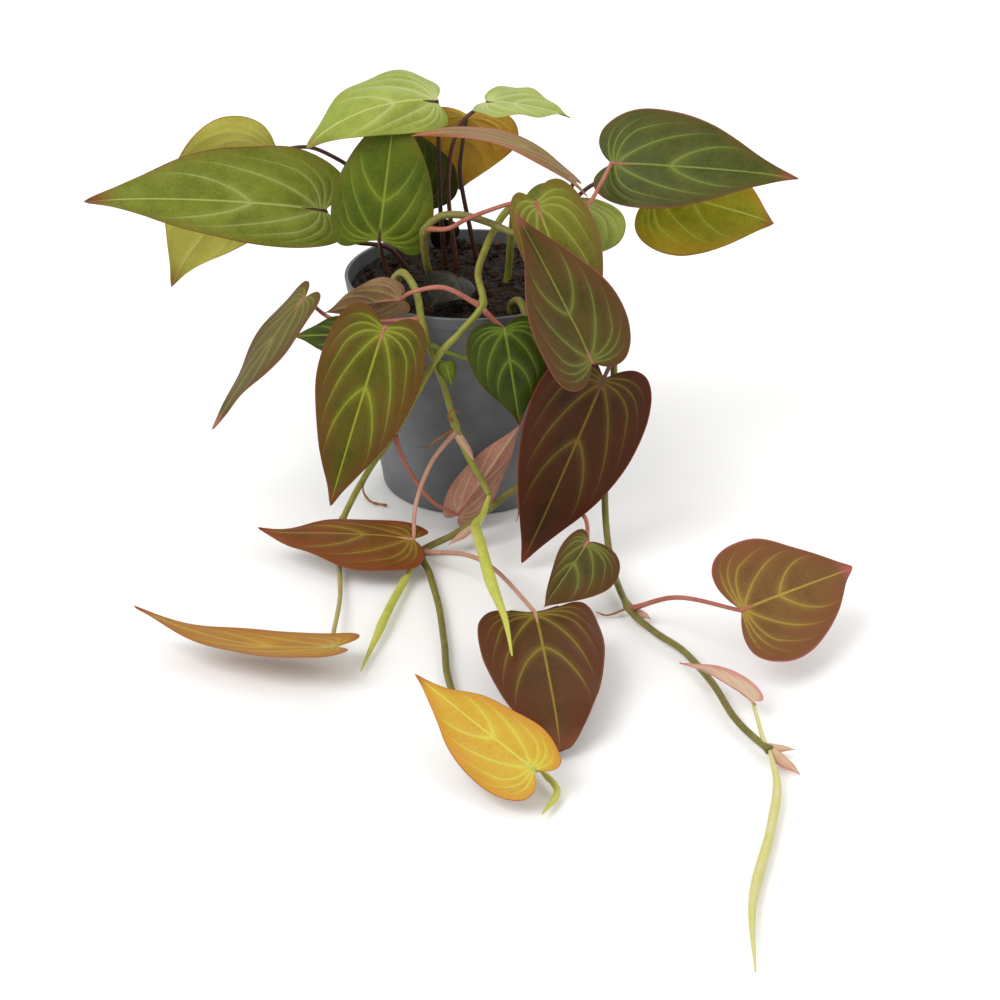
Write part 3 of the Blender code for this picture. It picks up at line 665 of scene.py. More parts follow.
def plastic(name: str) -> bpy.types.Material:
    """Recycled nursery-pot plastic: matt grey, faintly flecked, ringed by its mould, with pale specks of
    dust.

    Args:
        name: The material's name.

    Returns:
        The material.
    """
    nodes = Nodes(name)
    cloud = nodes.noise(24.0, 4.0, 0.6)
    fleck = nodes.noise(0.9, 3.0, 0.7)
    _, along = nodes.chart("skin")
    rings = (along * 1.1).maths("SINE", along * 1.1) * 0.5 + 0.5
    colour = nodes.mixed(cloud.between(0.3, 0.75), hue("73767a"), hue("85898d"))
    colour = nodes.mixed(fleck.between(0.62, 0.8) * 0.55, colour, hue("9aa3a9"))
    colour = nodes.mixed((1 - fleck).between(0.66, 0.82) * 0.4, colour, hue("5e6164"))
    dust = nodes.noise(2.2, 5.0, 0.75)
    colour = nodes.mixed(dust.between(0.66, 0.72) * cloud.between(0.5, 0.7) * 0.6, colour, hue("c4cfd5"))
    return nodes.finish(
        Base_Color=colour,
        Roughness=0.5 + fleck * 0.16,
        Normal=nodes.bump(fleck * 0.6 + rings * 0.16 + cloud * 0.24, 0.12),
        Specular_IOR_Level=0.4,
    )


def peat(name: str, light: str, dark: str, fleck: str) -> bpy.types.Material:
    """Moist peat or bark: dark crumbs with paler fibres and a faint damp gloss.

    Args:
        name: The material's name.
        light: Display code of the raised crumbs.
        dark: Display code of the hollows.
        fleck: Display code of the fibres.

    Returns:
        The material.
    """
    nodes = Nodes(name)
    crumb = nodes.noise(2.4, 5.0, 0.7)
    grit = nodes.noise(0.6, 3.0, 0.6)
    fibre = nodes.noise(5.0, 6.0, 0.8)
    colour = nodes.mixed(crumb.between(0.35, 0.7), hue(dark), hue(light))
    colour = nodes.mixed(fibre.between(0.6, 0.68) * 0.6, colour, hue(fleck))
    return nodes.finish(
        Base_Color=colour,
        Roughness=0.72 + grit * 0.25,
        Normal=nodes.bump(crumb * 0.6 + grit * 0.4, 0.5),
        Specular_IOR_Level=0.3,
    )


# Leaves


@dataclass(frozen=True)
class Leaf:
    """One leaf or sheath: where its blade starts and ends, and how it bends.

    Attributes:
        base: Where the petiole meets the blade.
        tip: The blade's tip.
        faces: The way its upper side faces.
        width: Its full width.
        petiole: The stalk's points, from the soil or stem to the base.
        petiole_radius: The stalk's radius.
        rooted: True where the stalk rises from the soil.
        arch: How far the midrib turns down from end to end, in degrees.
        droop: How much further it turns near the tip, in degrees.
        left_fold: How far the left half lifts from the midrib, in degrees.
        right_fold: How far the right half lifts, in degrees.
        cup: How far the halves curl down to the margin, in degrees.
        fullness: Power on the outline: below 1 it is rounder.
        left_share: Factor on the left half's width.
        right_share: Factor on the right half's width.
    """

    base: Point
    tip: Point
    faces: Point
    width: float
    petiole: Route = ()
    petiole_radius: float = 1.1
    rooted: bool = False
    arch: float = 0.0
    droop: float = 0.0
    left_fold: float = 0.0
    right_fold: float = 0.0
    cup: float = 0.0
    fullness: float = 1.0
    left_share: float = 1.0
    right_share: float = 1.0


# Half outline of the heart-shaped blade: share of length, share of half width
HEART = (
    (0.00, 0.00), (-0.055, 0.17), (-0.085, 0.40), (-0.065, 0.66),
    (0.02, 0.88), (0.16, 1.00), (0.33, 0.97), (0.50, 0.79),
    (0.65, 0.55), (0.78, 0.31), (0.89, 0.125), (1.00, 0.00),
)
OUTLINE_SAMPLES = 36
ACROSS_WEIGHT = 0.35

# Where a blade's rows leave the midrib, and how they curve out to the edge
SINUS_REACH = 1.25
SINUS_START = 0.25
NEAR_PETIOLE = 0.1
ROW_CURVE = 1.6

# The midrib's curve: shares of its length, with a stretch behind the petiole
BEHIND_PETIOLE = -0.2
MIDRIB_STATIONS = 121
MIDRIB_PASSES = 5
DROOP_START = 0.72
DROOP_EASE = 1.3

# A rolled leaf's girth: shares of its length, and of its greatest radius
SHOOT_SHARES = (0.0, 0.2, 0.65, 1.0)
SHOOT_FULLNESS = (0.35, 0.9, 1.0, 0.15)

# Just under half way from one vein number to the next, where no vein shows
NO_VEIN = 0.49

# The vines where they leave the peat and at their ends
SOIL_LEVEL = 103.0
VINE_RADIUS = 1.85
VINE_END_TAPER = 0.78
VINE_SAMPLES = 14

# Each leaf with its blade and stalk: places in millimetres, bends in degrees
LEAVES: dict[str, tuple[Leaf, Tone, Bark]] = {
    "leaf_far_left": (
        Leaf(base=(-68, 0, 141), tip=(-178, -20, 152), faces=(0.1, -0.72, 0.68), width=60,
             petiole=((-30, 20, 0), (-40, 17, 116), (-56, 9, 122), (-65, 4, 131)), rooted=True,
             arch=25, droop=10, left_fold=-8, right_fold=6, cup=10, fullness=0.85, left_share=0.66),
        Tone.MEADOW, Bark.CHESTNUT,
    ),
    "leaf_left_back": (
        Leaf(base=(-92, 25, 163), tip=(-147, 15, 96), faces=(-0.2, 0.9, 0.3), width=70,
             petiole=((-34, 32, 0), (-44, 34, 138), (-72, 27, 162)), rooted=True,
             arch=20, droop=30, cup=15, fullness=0.85, left_share=1.15, right_share=0.8),
        Tone.BACKLIT, Bark.CHESTNUT,
    ),
    "leaf_top_arch": (
        Leaf(base=(-14, 4, 193), tip=(-74, -14, 176), faces=(0, -0.35, 0.93), width=60,
             petiole=((-12, 20, 0), (-14, 16, 140), (-14, 10, 168)), rooted=True,
             arch=60, droop=10, left_fold=-40, right_fold=4, cup=14, fullness=0.7,
             left_share=0.5, right_share=0.85),
        Tone.SPRING, Bark.CHESTNUT,
    ),
    "leaf_upright": (
        Leaf(base=(-42, -16, 132), tip=(-34, -1, 188), faces=(0, -1, 0.25), width=48,
             petiole=((-34, -6, 0), (-40, -10, 118)), rooted=True,
             arch=26, left_fold=6, right_fold=6, cup=12, fullness=0.5),
        Tone.FERN, Bark.CHESTNUT,
    ),
    "leaf_upright_back": (
        Leaf(base=(-28, 24, 134), tip=(-33, 18, 180), faces=(0.2, -0.95, 0.3), width=50,
             petiole=((-22, 34, 0),), rooted=True,
             arch=10, cup=10, fullness=0.85),
        Tone.MOSS, Bark.CHESTNUT,
    ),
    "leaf_back": (
        Leaf(base=(-1, 33, 178), tip=(-5, 38, 138), faces=(0, 0.95, 0.3), width=52,
             petiole=((4, 28, 0), (-4, 28, 146), (-3, 28, 165)), rooted=True,
             arch=10, cup=15, fullness=0.9),
        Tone.SUNLIT, Bark.CHESTNUT,
    ),
    "leaf_top_right": (
        Leaf(base=(9, 16, 189), tip=(48, 4, 185), faces=(0, -0.1, 1), width=40,
             petiole=((-6, 16, 0), (-10, 15, 150), (-4, 14, 178)), rooted=True,
             arch=24, left_fold=8, right_fold=8, cup=12),
        Tone.SPRING, Bark.MAROON,
    ),
    "leaf_edge_on": (
        Leaf(base=(49, -26, 165), tip=(-25, -40, 190), faces=(0, -0.05, 1), width=30,
             petiole=((40, -52, 149), (44, -46, 158)),
             arch=56, left_fold=2, right_fold=2, cup=6, fullness=0.8),
        Tone.CINNAMON, Bark.CORAL,
    ),
    "leaf_right_large": (
        Leaf(base=(67, -5, 166), tip=(153, -20, 163), faces=(0, -0.75, 0.66), width=60,
             petiole=((23, -24, 151), (28, -32, 156), (40, -41, 155), (54, -36, 156), (62, -20, 162)),
             arch=14, droop=12, left_fold=4, cup=12, left_share=0.96, right_share=0.7),
        Tone.OLIVE, Bark.CORAL,
    ),
    "leaf_right_lower": (
        Leaf(base=(89, 14, 147), tip=(147, 10, 131), faces=(0, -0.8, 0.6), width=58,
             petiole=((34, 14, 0), (42, 10, 128), (55, 8, 148), (71, 12, 153)), rooted=True,
             arch=10, droop=10, cup=12, fullness=0.75),
        Tone.LIME_BACKLIT, Bark.CHESTNUT,
    ),
    "leaf_right_mid": (
        Leaf(base=(48, -26, 156), tip=(35, -15, 114), faces=(0.1, -0.85, 0.5), width=58,
             petiole=((44, -47, 148), (46, -36, 150)),
             arch=10, cup=12, right_share=0.7),
        Tone.SPRING, Bark.CORAL,
    ),
    "leaf_front_green": (
        Leaf(base=(31, -57, 165), tip=(60, -70, 88), faces=(0.1, -0.9, 0.35), width=44,
             petiole=((-18, -30, 140), (-9, -33, 144), (-1, -35, 149), (10, -42, 156), (22, -51, 163)),
             arch=15, cup=14, right_share=0.66),
        Tone.GOLDEN, Bark.CORAL,
    ),
    "leaf_front_brown": (
        Leaf(base=(56, -90, 102), tip=(21, -76, 168), faces=(0.4, -0.85, 0.3), width=52,
             petiole=((64, -68, 99), (60, -79, 98)),
             arch=15, left_fold=24, right_fold=14, cup=5, right_share=0.9),
        Tone.VELVET, Bark.CORAL,
    ),
    "leaf_front_copper": (
        Leaf(base=(62, -82, 91), tip=(25, -98, 4), faces=(0.1, -0.95, 0.3), width=54,
             petiole=((66, -69, 93),),
             arch=10, droop=14, left_fold=6, right_fold=6, cup=10, fullness=0.85),
        Tone.COPPER, Bark.MAROON,
    ),
    "leaf_fold_small": (
        Leaf(base=(39, -66, 97), tip=(27, -71, 68), faces=(0.9, -0.4, 0.1), width=26,
             petiole=((9, -66, 117), (20, -66, 105), (30, -66, 100)),
             arch=10, left_fold=30, right_fold=30),
        Tone.RUST, Bark.CORAL,
    ),
    "leaf_pale_underside": (
        Leaf(base=(-5, -66, 12), tip=(26, -64, 61), faces=(0.15, 0.9, 0), width=23,
             petiole=((-33, -70, 54), (-29, -72, 42), (-18, -71, 23)),
             arch=10, left_fold=30, right_fold=30),
        Tone.ROSE, Bark.CORAL,
    ),
    "leaf_front_centre": (
        Leaf(base=(17, -77, 113), tip=(24, -82, 67), faces=(0.1, -0.95, 0.3), width=38,
             petiole=((-14, -66, 100), (-7, -65, 95), (4, -66, 93), (15, -72, 97), (19, -76, 106)),
             arch=10, cup=15),
        Tone.IVY, Bark.OLIVE,
    ),
    "leaf_small_bit": (
        Leaf(base=(-10, -68, 92), tip=(-7, -69, 81), faces=(0, -1, 0.3), width=9,
             petiole=((-14, -65, 92),),
             petiole_radius=0.7, arch=10, cup=15),
        Tone.FERN, Bark.OLIVE,
    ),
    "leaf_front_left": (
        Leaf(base=(-37, -76, 113), tip=(-64, -86, 27), faces=(-0.1, -0.95, 0.3), width=47,
             petiole=((-23, -70, 109),),
             arch=15, left_fold=8, right_fold=8, cup=12, fullness=0.85),
        Tone.HERB, Bark.CORAL,
    ),
    "leaf_left_hanging": (
        Leaf(base=(-76, -40, 113), tip=(-120, -60, 54), faces=(-0.85, -0.35, 0.4), width=36,
             petiole=((-26, -64, 111), (-42, -60, 109), (-62, -50, 106)),
             arch=10, cup=6),
        Tone.SAGE, Bark.CORAL,
    ),
    "leaf_pale_small": (
        Leaf(base=(-30, -62, 121), tip=(-65, -62, 114), faces=(0, 0.9, 0.4), width=26,
             petiole=((4, -66, 121), (-10, -66, 128), (-24, -66, 126)),
             arch=20, left_fold=10, right_fold=10, cup=10),
        Tone.SMOKE, Bark.CORAL,
    ),
    "leaf_left_small": (
        Leaf(base=(-48, -68, 106), tip=(-78, -68, 105), faces=(0, -0.6, 0.8), width=22,
             petiole=((-34, -67, 62), (-42, -66, 90)),
             arch=10, cup=10, fullness=0.8),
        Tone.IVY, Bark.CORAL,
    ),
    "leaf_dark_in_pot": (
        Leaf(base=(-6, -22, 116), tip=(-17, -56, 114), faces=(0.2, -0.3, 0.9), width=24,
             petiole=((-2, -12, 0),), rooted=True,
             arch=10, cup=10),
        Tone.SHADED, Bark.MAROON,
    ),
    "leaf_dark_back": (
        Leaf(base=(-10, 38, 112), tip=(-20, 34, 126), faces=(0, -0.9, 0.4), width=16,
             petiole=((-8, 40, 0),), rooted=True,
             petiole_radius=0.7, arch=10, cup=10),
        Tone.SHADED, Bark.MAROON,
    ),
    "leaf_low_left": (
        Leaf(base=(-25, -95, 15), tip=(-98, -89, 17), faces=(0, -0.25, 0.97), width=46,
             petiole=((-9, -69, 56), (-17, -74, 44), (-24, -84, 28)),
             arch=16, droop=-25, left_fold=2, cup=8, fullness=0.9, right_share=0.5),
        Tone.BRONZE, Bark.PINK,
    ),
    "leaf_low_edge": (
        Leaf(base=(-54, -190, 16), tip=(-143, -166, 21), faces=(0, 0.2, 1), width=32,
             petiole=((-60, -92, 4), (-57, -130, 5), (-57, -172, 9)),
             arch=-34, left_fold=4, right_fold=4, fullness=0.85),
        Tone.OCHRE, Bark.STRAW,
    ),
    "leaf_low_front": (
        Leaf(base=(28, -279, 16), tip=(-19, -231, 28), faces=(-0.4, -0.5, 0.75), width=52,
             petiole=((31, -266, 9),),
             arch=15, left_fold=6, right_fold=-20, cup=10, left_share=0.68, right_share=0.62),
        Tone.AMBER, Bark.YOUNG,
    ),
    "leaf_low_copper": (
        Leaf(base=(30, -176, 24), tip=(39, -250, 4), faces=(0, -0.4, 0.9), width=52,
             petiole=((-17, -93, 8), (0, -112, 16), (14, -138, 22)),
             arch=22, droop=40, left_fold=2, right_fold=2, cup=12, fullness=0.45),
        Tone.RUST, Bark.PINK,
    ),
    "leaf_low_small": (
        Leaf(base=(54, -130, 33), tip=(34, -154, 13), faces=(0.4, -0.5, 0.75), width=40,
             petiole=((30, -64, 30), (44, -72, 26), (54, -94, 26)),
             arch=20, droop=-60, left_fold=10, right_fold=10, cup=10, right_share=0.45),
        Tone.VELVET, Bark.CORAL,
    ),
    "leaf_low_right": (
        Leaf(base=(116, -186, 31), tip=(170, -143, 27), faces=(-0.1, -0.75, 0.65), width=56,
             petiole=((74, -141, 10), (92, -160, 22)),
             arch=14, droop=-8, left_fold=6, right_fold=6, cup=12, fullness=0.85),
        Tone.CLAY, Bark.CORAL,
    ),
    "leaf_young_right": (
        Leaf(base=(118, -222, 10), tip=(90, -197, 12), faces=(-0.3, 0.2, 1), width=12,
             petiole=((122, -246, 9),),
             petiole_radius=0.9, arch=30, left_fold=40, right_fold=40),
        Tone.BLUSHING, Bark.CREAM,
    ),
}

# Sheaths at the nodes
SHEATHS: dict[str, Leaf] = {
    "cataphyll_middle": Leaf(base=(-6, -71, 55), tip=(2, -73, 42), faces=(0, -1, 0.3), width=8, cup=120),
    "cataphyll_curl": Leaf(
        base=(24, -67, 34), tip=(32, -74, 26), faces=(0, -1, 0.4), width=9, arch=60, cup=140,
    ),
    "cataphyll_low": Leaf(
        base=(-25, -91, 4), tip=(-37, -100, 3), faces=(0, -0.3, 1), width=9, arch=20, cup=90,
    ),
    "cataphyll_red": Leaf(base=(27, -66, 107), tip=(43, -72, 101), faces=(0, -0.9, 0.4), width=5, cup=90),
    "cataphyll_pink": Leaf(base=(6, -84, 13), tip=(-6, -96, 8), faces=(0, -0.5, 0.9), width=6, cup=90),
    "cataphyll_right": Leaf(base=(78, -138, 4), tip=(86, -148, 4), faces=(0, -0.5, 0.9), width=7, cup=90),
    "cataphyll_tip_a": Leaf(base=(130, -252, 6), tip=(139, -266, 4), faces=(0, -0.4, 0.9), width=7, cup=80),
    "cataphyll_tip_b": Leaf(base=(126, -246, 9), tip=(136, -249, 9), faces=(0, -0.4, 0.9), width=4, cup=60),
}

# Vines from the soil outward, with the places of their swollen nodes
STEMS: dict[str, tuple[Route, tuple[int, ...], Bark]] = {
    "stem_left": (
        (
            (18, 2, 0), (19, 0, 110), (20, -8, 128), (21, -18, 148), (15, -24, 145), (8, -37, 135),
            (5, -50, 128), (7, -64, 119), (-3, -70, 108), (-14, -73, 96), (-33, -67, 58),
            (-48, -66, 34), (-60, -73, 12), (-61, -86, 4),
        ),
        (3, 7, 12),
        Bark.GREEN_VINE,
    ),
    "stem_middle": (
        (
            (-30, -32, 0), (-31, -35, 112), (-33, -40, 122), (-29, -48, 128), (-23, -57, 122),
            (-20, -64, 107), (-16, -63, 94), (-11, -62, 78), (-6, -65, 60), (-1, -67, 46),
            (6, -71, 34), (10, -76, 28),
        ),
        (2, 5, 8),
        Bark.GREEN_VINE,
    ),
    "stem_right": (
        (
            (-17, -12, 0), (-18, -14, 112), (-20, -22, 126), (-20, -26, 140), (-14, -27, 147),
            (-8, -28, 149), (0, -30, 149), (10, -36, 148), (20, -43, 146), (30, -48, 145),
            (41, -52, 143), (53, -54, 136), (62, -57, 119), (67, -63, 95), (67, -66, 60),
            (64, -78, 30), (66, -104, 9), (72, -139, 5), (82, -158, 4), (94, -175, 4), (104, -200, 4),
            (110, -224, 4), (116, -238, 4), (122, -250, 5),
        ),
        (3, 10, 17, 23),
        Bark.DARK_VINE,
    ),
    "stem_front": (
        (
            (20, -38, 0), (20.5, -41, 110), (24, -50, 115), (27, -58, 111), (30, -58, 97),
            (32, -54, 75), (31, -55, 50), (27, -62, 30), (18, -68, 24), (7, -74, 17), (-6, -81, 10),
            (-21, -91, 6), (-17, -110, 4), (-12, -140, 4), (-9, -170, 4), (-7, -195, 4),
            (-1, -220, 4), (12, -243, 4), (30, -262, 5),
        ),
        (7, 11, 18),
        Bark.DARK_VINE,
    ),
}

# Leaves still rolled up: path and greatest radius
SHOOTS: dict[str, tuple[Route, float, Bark]] = {
    "rolled_leaf_pale": (
        (
            (10, -77, 27), (7, -88, 24), (4, -102, 26), (6, -128, 32), (11, -165, 33), (17, -190, 30),
            (20, -212, 25),
        ),
        2.6,
        Bark.YOUNG,
    ),
    "shoot_left": (
        (
            (-21, -97, 6), (-26, -106, 5), (-31, -126, 5), (-36, -150, 5), (-44, -190, 3.5),
        ),
        2,
        Bark.YOUNG,
    ),
    "shoot_front": (
        (
            (33, -267, 5), (37, -276, 4), (31, -291, 4),
        ),
        1.4,
        Bark.YOUNG,
    ),
    "shoot_long": (
        (
            (126, -257, 5), (122, -275, 5), (116, -302, 4), (108, -330, 4), (104, -350, 4),
            (102, -378, 3),
        ),
        2,
        Bark.CREAM,
    ),
}

# Roots: path and radius
ROOTS: dict[str, tuple[Route, float, Bark]] = {
    "root_curl": (((-7, -69, 61), (-9, -71, 66), (-7, -72, 70), (-4, -71, 68)), 0.6, Bark.ROOT),
    "root_middle": (((-9, -68, 57), (-15, -69, 53), (-18, -69, 50), (-23, -69, 49)), 0.7, Bark.ROOT),
    "root_front": (((26, -60, 29), (23, -55, 20), (24, -55, 8), (23, -54, 2)), 0.5, Bark.ROOT),
    "root_drain": (((-41, -36, 1.3), (-49, -33, 2), (-53, -26, 5), (-51, -20, 9)), 0.7, Bark.ROOT),
    "root_right": (((69, -141, 3), (63, -142, 2.2), (58, -138, 1.5)), 0.6, Bark.ROOT),
}

POT_ROOTS = ("root_drain",)


def in_peat(points: Any) -> Array:
    """The same route, with its first point just under the face of the peat."""
    route = np.array(points, dtype=float)
    route[0, 2] = SOIL_LEVEL
    return route


def on_vine(point: Any) -> tuple[Array, float]:
    """The nearest place on a vine's middle, found by a perpendicular on each span.

    Args:
        point: Where to search from.

    Returns:
        The place, and the vine's radius there.
    """
    found = []
    for points, _, _ in STEMS.values():
        path = smooth(in_peat(points), VINE_SAMPLES)
        radii = VINE_RADIUS * np.linspace(1.0, VINE_END_TAPER, len(path))
        run = np.diff(path, axis=0)
        share = np.clip(((point - path[:-1]) * run).sum(axis=1) / (run * run).sum(axis=1), 0, 1)
        places = path[:-1] + share[:, None] * run
        away = np.linalg.norm(point - places, axis=1)
        index = int(np.argmin(away))
        found.append((away[index], places[index], radii[index]))
    _, place, radius = min(found, key=lambda entry: entry[0])
    return place, radius


def from_vine(points: Any, depth: float = 0.5) -> Array:
    """The same route, starting inside the nearest vine, at a share of its radius from its middle."""
    route = np.array(points, dtype=float)
    place, radius = on_vine(route[0])
    leaving = route[1] - place
    route[0] = place + depth * radius * leaving / np.linalg.norm(leaving)
    return route


def wrapped(leaf: Leaf) -> Leaf:
    """The same sheath, moved so that its foot is on the skin of the nearest vine."""
    base = np.array(leaf.base, dtype=float)
    place, radius = on_vine(base)
    foot = place + radius * (base - place) / np.linalg.norm(base - place)
    return replace(leaf, base=tuple(foot), tip=tuple(np.array(leaf.tip) + foot - base))


@dataclass
class Blade:
    """A blade's surfaces: the outline, its bends, its veins and its thickness.

    Attributes:
        leaf: The leaf's own sizes.
        seed: Number of its own noise.
        rows: Cells along the blade.
        columns: Cells across it.
        side_crowding: Power that crowds the columns towards the margins.
        thickness: Thickness of the blade, in millimetres, as are all the lengths here.
        edge_thickness: Its thickness at the margin.
        edge_power: How late the blade thins towards the margin.
        vein_starts: Where veins leave the midrib, as shares of it.
        vein_sweep: How far a vein sweeps forward: at the base, and what the tip adds.
        vein_curve: Power of that sweep.
        vein_bounds: Shares of the midrib, before its base and past its tip, where no vein starts.
        groove: Depth of the grooves over the veins.
        vein_groove: Half width of a side vein's groove, and its share of the depth.
        rib_groove: Half width of the midrib's groove.
        pillow: Height of the swelling between veins.
        full_gap: Gap between veins at which the swelling is full.
        relief_ends: Shares out and along where grooves fade: margin, base and tip.
        ripple: Height of the margin's waves.
        least_waves: How many waves each margin has, before chance adds up to one more.
        ripple_power: How late the waves rise towards the margin.
        ripple_start: Shares of the length between which they start.
        swell: Height of the slow unevenness.
        swell_length: Its length.
        rib_ridge: How far the midrib stands out below.
        ridge_width: Half width of that ridge.
        vein_ridge: How far the side veins stand out below.
        ridge_start: Share of the length by which the ridges are full.
        full_width: Width of a blade that shows all this relief; narrower ones show less.
    """

    leaf: Leaf
    seed: int
    rows: int = 96
    columns: int = 56
    side_crowding: float = 1.25
    thickness: float = 0.42
    edge_thickness: float = 0.16
    edge_power: int = 6
    vein_starts: tuple[float, ...] = (0.03, 0.13, 0.26, 0.41, 0.57)
    vein_sweep: tuple[float, float] = (0.16, 0.54)
    vein_curve: float = 1.3
    vein_bounds: tuple[float, float] = (-1.5, 1.02)
    groove: float = 0.3
    vein_groove: tuple[float, float] = (0.9, 0.7)
    rib_groove: float = 1.2
    pillow: float = 0.42
    full_gap: float = 9.0
    relief_ends: tuple[float, float, float] = (0.75, 0.12, 0.85)
    ripple: float = 0.9
    least_waves: float = 2.2
    ripple_power: float = 2.2
    ripple_start: tuple[float, float] = (0.05, 0.3)
    swell: float = 0.9
    swell_length: float = 17.0
    rib_ridge: float = 0.5
    ridge_width: float = 0.8
    vein_ridge: float = 0.22
    ridge_start: float = 0.03
    full_width: float = 44.0

    def grid(self) -> tuple[Array, Array]:
        """Each grid point's share along the rows, and its side from -1 at the right to 1."""
        share = np.linspace(0, 1, self.rows + 1)
        line = np.linspace(-1, 1, self.columns + 1)
        side = np.sign(line) * (1 - (1 - np.abs(line)) ** self.side_crowding)
        return np.meshgrid(share, side, indexing="ij")

    def outline(self, share: Array) -> tuple[Array, Array]:
        """The margin at a share of its own run: share of length, and of half width.

        The run weighs steps across at ACROSS_WEIGHT, so the rows are even to the eye.
        """
        fine = smooth(HEART, OUTLINE_SAMPLES)
        step = np.hypot(np.diff(fine[:, 0]), ACROSS_WEIGHT * np.diff(fine[:, 1]))
        run = np.concatenate([[0.0], np.cumsum(step)]) / step.sum()
        across = np.maximum(np.interp(share, run, fine[:, 1]), 0.0)
        return np.interp(share, run, fine[:, 0]), across**self.leaf.fullness

    def flat(self, share: Array, side: Array) -> tuple[Array, Array]:
        """The blade pressed flat: each row runs from the midrib to the margin on a power curve."""
        along, across = self.outline(share)
        rib = np.maximum(SINUS_REACH * along - SINUS_START, NEAR_PETIOLE * share)
        rib = np.where(share >= 1, 1.0, rib)
        return rib + (along - rib) * np.abs(side) ** ROW_CURVE, across * side

    def midrib(self) -> tuple[Array, Array, Array]:
        """The midrib's unit curve: its pitch falls evenly, and faster past the droop's start."""
        leaf = self.leaf
        stations = np.linspace(BEHIND_PETIOLE, 1.0, MIDRIB_STATIONS)
        inside = np.clip(stations, 0, 1)
        end = np.clip((inside - DROOP_START) / (1 - DROOP_START), 0, 1)
        pitch = math.radians(leaf.arch) * (0.5 - inside) - math.radians(leaf.droop) * end**DROOP_EASE
        step = stations[1] - stations[0]
        start = int(np.argmin(np.abs(stations)))
        for _ in range(MIDRIB_PASSES):
            run = np.stack([np.cos(pitch), np.sin(pitch)], axis=-1)
            curve = np.vstack([[0.0, 0.0], np.cumsum((run[1:] + run[:-1]) / 2, axis=0)]) * step
            curve -= curve[start]
            pitch = pitch - math.atan2(curve[-1, 1], curve[-1, 0])
        return stations, curve, pitch

    def bent(self, along: Array, across: Array) -> Array:
        """Places on the bent blade.

        Across the blade each half is an arc, folded up at the midrib and curled
        down to its margin. That arc is carried along the midrib's curve.

        Args:
            along: Share of the blade's length.
            across: Share of its half width, left of the midrib being positive.

        Returns:
            The places, in millimetres.
        """
        leaf = self.leaf
        base, tip = np.array(leaf.base, dtype=float), np.array(leaf.tip, dtype=float)
        chord = np.linalg.norm(tip - base)
        ahead = (tip - base) / chord
        normal = np.array(leaf.faces, dtype=float)
        normal -= ahead * (normal @ ahead)
        normal /= np.linalg.norm(normal)
        left = np.cross(normal, ahead)
        stations, curve, pitch = self.midrib()
        length = chord / np.linalg.norm(curve[-1])
        is_left = across > 0
        reach = np.abs(across) * np.where(is_left, leaf.left_share, leaf.right_share) * leaf.width / 2
        fold = np.radians(np.where(is_left, leaf.left_fold, leaf.right_fold))
        half_bend = math.radians(leaf.cup) * np.abs(across) / 2
        arc = reach * np.sinc(half_bend / math.pi)
        out = np.sign(across) * arc * np.cos(fold - half_bend)
        rise = arc * np.sin(fold - half_bend)
        tilt = np.interp(along, stations, pitch)
        forward = np.interp(along, stations, curve[:, 0]) * length - rise * np.sin(tilt)
        upward = np.interp(along, stations, curve[:, 1]) * length + rise * np.cos(tilt)
        return base + forward[..., None] * ahead + out[..., None] * left + upward[..., None] * normal

    def vein_number(self, share: Array, side: Array) -> Array:
        """Which vein a place is on: whole numbers are veins.

        A vein leaves the midrib at its start and sweeps forward with a power of
        its distance out, the more so further up the blade. So a place's start
        is found by undoing that sweep.
        """
        least, more = self.vein_sweep
        swept = (least + more * share) * np.abs(side) ** self.vein_curve
        start = (share - swept) / (1 - swept)
        count = len(self.vein_starts)
        before, beyond = self.vein_bounds
        numbers = [-NO_VEIN, *range(count), count - 1 + NO_VEIN]
        return np.interp(start, [before, *self.vein_starts, beyond], numbers)

    def normals(self, points: Array) -> Array:
        """Unit normals of a grid: the cross product of its steps down rows and across columns."""
        down = np.gradient(points, axis=0)
        over = np.gradient(points, axis=1)
        normal = np.cross(down, over)
        normal[0], normal[-1] = normal[2], normal[-3]
        normal[1], normal[-2] = normal[2], normal[-3]
        return normal / np.maximum(np.linalg.norm(normal, axis=-1), 1e-9)[..., None]

    def vein_gap(self, points: Array, number: Array) -> Array:
        """Millimetres from one vein to the next: one over the slope of the vein number."""
        down, over = np.gradient(points, axis=0), np.gradient(points, axis=1)
        rise, run = np.gradient(number, axis=0), np.gradient(number, axis=1)
        e, f, g = (down * down).sum(-1), (down * over).sum(-1), (over * over).sum(-1)
        area = np.maximum(e * g - f * f, 1e-4)
        slope = np.sqrt(np.maximum((g * rise**2 - 2 * f * rise * run + e * run**2) / area, 1e-6))
        return np.clip(1 / slope, 0.4, 60.0)

